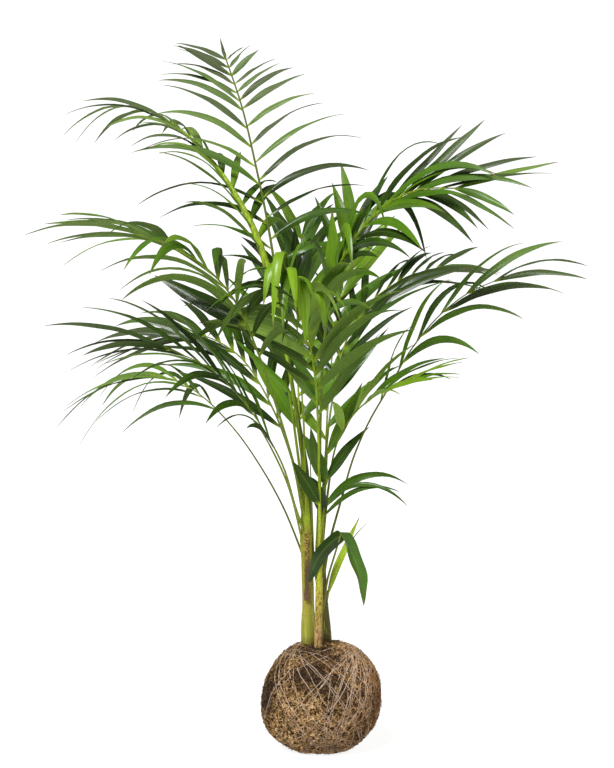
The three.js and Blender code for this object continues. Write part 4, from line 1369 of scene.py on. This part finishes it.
def stalk_finish():
    leaf = bpy.context.scene.palm_leaf
    f = Finish.of("stalk", Roughness=0.4, Specular_IOR_Level=0.2)
    height = f.split(f.places())[2]
    # The stalks' dark streaks are partly their own streaks and partly painted shade, standing in for the
    # dark sides of a round stalk.
    fine = streaks(f, 420.0, 9.0)
    specks = f.noise(f.places(), 620.0, 1.0).between(0.56, 0.64)
    bright = f.map_of("Leaflet")[1]
    colour = f.mix((bright * 1.2 + (fine - 0.5) * 0.8).kept(), shade("56602a"), leaf.stalk)
    colour = f.coats(colour, ((fine * 3.2 - 1.15).kept() * 0.8, "44580e"),
                     (height.below(0.2, 0.42) * 0.5 * bright, "b4b82c"),
                     (specks * 0.75 * height.below(0.28, 0.42), "6b4f1e"))
    f.relief(fine, 0.0003)
    return f.wear(Base_Color=colour)


def stalk_bar(frond):
    """The round stalk, thicker at its foot, and the foot that clasps the cane."""
    closer = np.linspace(0, STALK_FOOT, FOOT_RINGS)
    shares = np.concatenate([closer, np.linspace(STALK_FOOT, 1, STALK_RINGS)[1:]])
    swell = FOOT_SWELL * min(len(frond["route"]) / LONG_ROUTE, 1)
    points = [spline_point(frond["route"], t) for t in shares]
    radii = [stalk_radius(frond, t) + swell * math.exp(-t / FOOT_SWELL_SHARE) for t in shares]
    start = points[0]
    away = (start - cane_at(frond["cane"], start[2])[0]) * (1, 1, 0)
    away = away / max(np.linalg.norm(away), 1e-6)
    clasp, clasp_radii = [], []
    for drop in CLASP_DROPS:
        height = max(start[2] - drop, CLASP_LOWEST)
        if clasp and height <= clasp[-1][2] + 1:
            continue
        middle, radius = cane_at(frond["cane"], height)
        share = 1 - drop / CLASP_REACH
        clasp.append(middle + away * (radius - mixed(*CLASP_SUNK, share)))
        clasp_radii.append(mixed(CLASP_END_RADIUS, radii[0], share))
    return round_bar(frond["name"] + "_stalk", clasp + points, clasp_radii + radii)


def spear_bar(frond, route, radius):
    """A leaf that hasn't opened yet: a thin round spear that ends in a point."""
    shares = np.linspace(0, 1, SPEAR_RINGS)
    points = [spline_point(route, t) for t in shares]
    radii = radius * np.interp(shares, *SPEAR_TAPER)
    return round_bar(frond["name"] + "_spear", points, radii)


def close_leaflets(frond, index):
    """The leaflets that the solid lacks: small ones near the frond's end, lone ones and the last one."""
    for pair in frond.get("between", ()):
        for side in (1, -1):
            yield leaflet_plan(frond, index, pair + 0.5, side)
    for k, (start, way, length, width, droop, fresh, turn) in enumerate(frond.get("lone", ())):
        plan = leaflet_plan(frond, index, 0, 1)
        plan.update(start=np.array(start, float), ahead=unit(way), angle=0, length=length, width=width,
                    droop=droop, roll=0, number=LONE_NUMBER + k, fresh=fresh, turn=(turn, turn), t=None)
        if isinstance(turn, tuple):
            plan.update(over=unit(turn), turn=(0, 0))
        yield plan
    if "end" in frond:
        plan = leaflet_plan(frond, index, frond["pairs"] - 1, 1)
        plan.update(length=frond["end"], angle=END_ANGLE, lift=0, droop=END_DROOP, roll=END_ROLL,
                    number=END_NUMBER)
        yield plan


def leaflets_of(frond, index):
    """The plan and the rib of each leaflet of a frond."""
    solid = corners_of(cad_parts[frond["name"]]) / MM
    for pair in range(frond["pairs"]):
        for side in frond.get("sides", (1, -1)):
            plan = leaflet_plan(frond, index, pair, side)
            arc = laid_leaflet(plan, solid, frond.get("stiff", 1))
            if arc is not None and "strap" in frond:
                arc = strap_arc(frond, plan, arc)
            if arc is not None:
                yield plan, arc
    for plan in close_leaflets(frond, index):
        yield plan, straight_arc(plan)


def make_frond(index, pattern, finishes):
    """One piece for each frond: its blades, its stalk and its leaves that haven't opened."""
    frond = FRONDS[index]
    share, across, faces = pattern
    corners = np.stack([share, across + 0.5], axis=1)[[v for face in faces for v in face]]
    if "foot" in frond:
        corners[:, 0] = mixed(PAST_STALK_COLOUR, 1, corners[:, 0])  # a round foot has none
    points, every, leaflet_map = [], [], []
    for plan, arc in leaflets_of(frond, index):
        every.extend(shifted(faces, len(points) * len(share)))
        points.append(blade_points(share, across, arc, plan, index, frond))
        chance = 0.5 + 0.5 * vary(index, plan["number"], 7)
        leaflet_map.append(np.tile((chance, plan["fresh"]), (len(corners), 1)))
    blades = mesh_of(frond["name"] + "_leaves", np.concatenate(points), every)
    paint_map(blades, "Blade", np.tile(corners, (len(points), 1)))
    paint_map(blades, "Leaflet", np.concatenate(leaflet_map))
    for finish in finishes:
        blades.data.materials.append(finish)
    merge_doubles(blades, BLADE_WELD)
    apply_modifier(blades, "Thickness", "SOLIDIFY", thickness=bpy.context.scene.palm_leaf.thickness,
                   offset=0, material_offset=1, material_offset_rim=0)
    stalks = [(stalk_bar(frond), frond["stalk"][1])]
    for route, radius, bright in frond.get("spears", ()):
        stalks.append((spear_bar(frond, route, radius), bright))
    for stalk, bright in stalks:
        paint_map(stalk, "Leaflet", np.tile((0.0, bright), (len(stalk.data.loops), 1)))
        stalk.data.materials.append(finishes[2])
    piece = join_pieces(blades, [stalk for stalk, _ in stalks])
    smooth(piece, FROND_SMOOTH)
    slot = "young_leaf" if frond["name"] == "frond_bright" else "leaf"
    return declare(piece, slot, [], frond["name"])


# ---- the stage ----
CAMERA_PLACE, CAMERA_TARGET = (-0.0195, -2.0, 0.554), (-0.0195, 0.0, 0.477)  # metres
CAMERA_LENS, CAMERA_SENSOR = 72.2, 36.0
KEY_ANGLES, FILL_ANGLES = (22, 42, -32), (60, 55, 50)  # spread, tilt and heading in degrees
WORLD_LIGHT, WORLD_SEEN = 0.15, 1.15
FLOOR_SIZE, FLOOR_GLOW = 14.0, 0.9  # metres, and its own light


def make_floor():
    stage = bpy.context.scene.palm_stage
    deselect_all()
    bpy.ops.mesh.primitive_plane_add(size=FLOOR_SIZE, location=(0, 0, 0))
    floor = name_it("floor")
    f = Finish.of("floor", Roughness=1.0, Specular_IOR_Level=0.0, Emission_Strength=FLOOR_GLOW)
    soft = f.noise(f.places(), 1.5, 2.0)
    colour = f.mix(soft, stage.floor, dimmed(stage.floor, 0.94))
    glow = f.mix(soft * 0.02, (1, 1, 1), (0.9, 0.9, 0.9))
    floor.data.materials.append(f.wear(Base_Color=colour, Emission_Color=glow))


def soft_sun(name, strength, angle, tilt, heading):
    light = bpy.data.lights.new(name, "SUN")
    light.energy = strength
    light.angle = math.radians(angle)
    placed(name, light).rotation_euler = (math.radians(tilt), 0, math.radians(heading))


def make_world():
    """White all round: bright where the camera sees it, and dim as light on the palm."""
    world = Finish(bpy.data.worlds.new("studio"), "BACKGROUND", Color=(1, 1, 1, 1))
    seen = world.wire(world.node("ShaderNodeLightPath"), "Is Camera Ray")
    values = {"Value": seen, "To Min": WORLD_LIGHT, "To Max": WORLD_SEEN}
    bpy.context.scene.world = world.wear(Strength=world.wire(world.node("ShaderNodeMapRange", values)))


def make_camera():
    """Looks at the palm from where the photo was taken."""
    camera = bpy.data.cameras.new("camera")
    camera.sensor_width = CAMERA_SENSOR
    camera.lens = CAMERA_LENS
    camera.dof.use_dof = False
    obj = placed("camera", camera)
    obj.location = CAMERA_PLACE
    obj.rotation_mode = "QUATERNION"
    obj.rotation_quaternion = (Vector(CAMERA_TARGET) - obj.location).to_track_quat("-Z", "Y")
    bpy.context.scene.camera = obj


# ---- operators ----
class PALM_OT_root_ball(bpy.types.Operator):
    """Makes the ball of coir with its chips and fibres"""

    bl_idname = "palm.root_ball"
    bl_label = "Root ball"

    def execute(self, context):
        make_ball()
        make_chips()
        make_fibres()
        return {"FINISHED"}


class PALM_OT_binding_thread(bpy.types.Operator):
    """Winds the thread round the ball"""

    bl_idname = "palm.binding_thread"
    bl_label = "Binding thread"

    def execute(self, context):
        make_thread()
        return {"FINISHED"}


class PALM_OT_canes(bpy.types.Operator):
    """Makes the three canes with their leaf scars"""

    bl_idname = "palm.canes"
    bl_label = "Canes"

    def execute(self, context):
        for name in CANES:
            make_cane(name)
        return {"FINISHED"}


class PALM_OT_dry_sheath(bpy.types.Operator):
    """Makes the dry sheath on the left cane"""

    bl_idname = "palm.dry_sheath"
    bl_label = "Dry sheath"

    def execute(self, context):
        make_sheath()
        return {"FINISHED"}


class PALM_OT_fronds(bpy.types.Operator):
    """Makes every frond with its stalk and leaflets"""

    bl_idname = "palm.fronds"
    bl_label = "Fronds"

    def execute(self, context):
        pattern = blade_pattern()
        finishes = [leaf_finish("leaf_top"), leaf_finish("leaf_underside", True), stalk_finish()]
        for index in range(len(FRONDS)):
            make_frond(index, pattern, finishes)
        return {"FINISHED"}


class PALM_OT_stage(bpy.types.Operator):
    """Sets up the floor, the light and the camera"""

    bl_idname = "palm.stage"
    bl_label = "Stage"

    def execute(self, context):
        stage = context.scene.palm_stage
        make_floor()
        make_world()
        make_camera()
        soft_sun("key", stage.key, *KEY_ANGLES)
        soft_sun("fill", stage.fill, *FILL_ANGLES)
        context.scene.view_settings.view_transform = "Standard"
        return {"FINISHED"}


class PALM_PT_panel(bpy.types.Panel):
    """Lists the palm's pieces and their settings"""

    bl_idname = "PALM_PT_panel"
    bl_label = "Palm"
    bl_space_type = "VIEW_3D"
    bl_region_type = "UI"
    bl_category = "Palm"

    def draw(self, context):
        for group in (context.scene.palm_leaf, context.scene.palm_stem, context.scene.palm_ball,
                      context.scene.palm_stage):
            box = self.layout.box()
            for key in group.__annotations__:
                box.prop(group, key)
        for operator in OPERATORS:
            self.layout.operator(operator.bl_idname)


OPERATORS = (
    PALM_OT_root_ball,
    PALM_OT_binding_thread,
    PALM_OT_canes,
    PALM_OT_dry_sheath,
    PALM_OT_fronds,
    PALM_OT_stage,
)
GROUPS = {
    "palm_leaf": PalmLeafSettings,
    "palm_stem": PalmStemSettings,
    "palm_ball": PalmBallSettings,
    "palm_stage": PalmStageSettings,
}


def register():
    for name, group in GROUPS.items():
        bpy.utils.register_class(group)
        setattr(bpy.types.Scene, name, PointerProperty(type=group))
    for operator in OPERATORS:
        bpy.utils.register_class(operator)
    bpy.utils.register_class(PALM_PT_panel)


def unregister():
    bpy.utils.unregister_class(PALM_PT_panel)
    for operator in reversed(OPERATORS):
        bpy.utils.unregister_class(operator)
    for name, group in reversed(GROUPS.items()):
        delattr(bpy.types.Scene, name)
        bpy.utils.unregister_class(group)


def main():
    register()
    bpy.ops.palm.root_ball()
    bpy.ops.palm.binding_thread()
    bpy.ops.palm.canes()
    bpy.ops.palm.dry_sheath()
    bpy.ops.palm.fronds()
    bpy.ops.palm.stage()


if __name__ == "__main__":
    main()
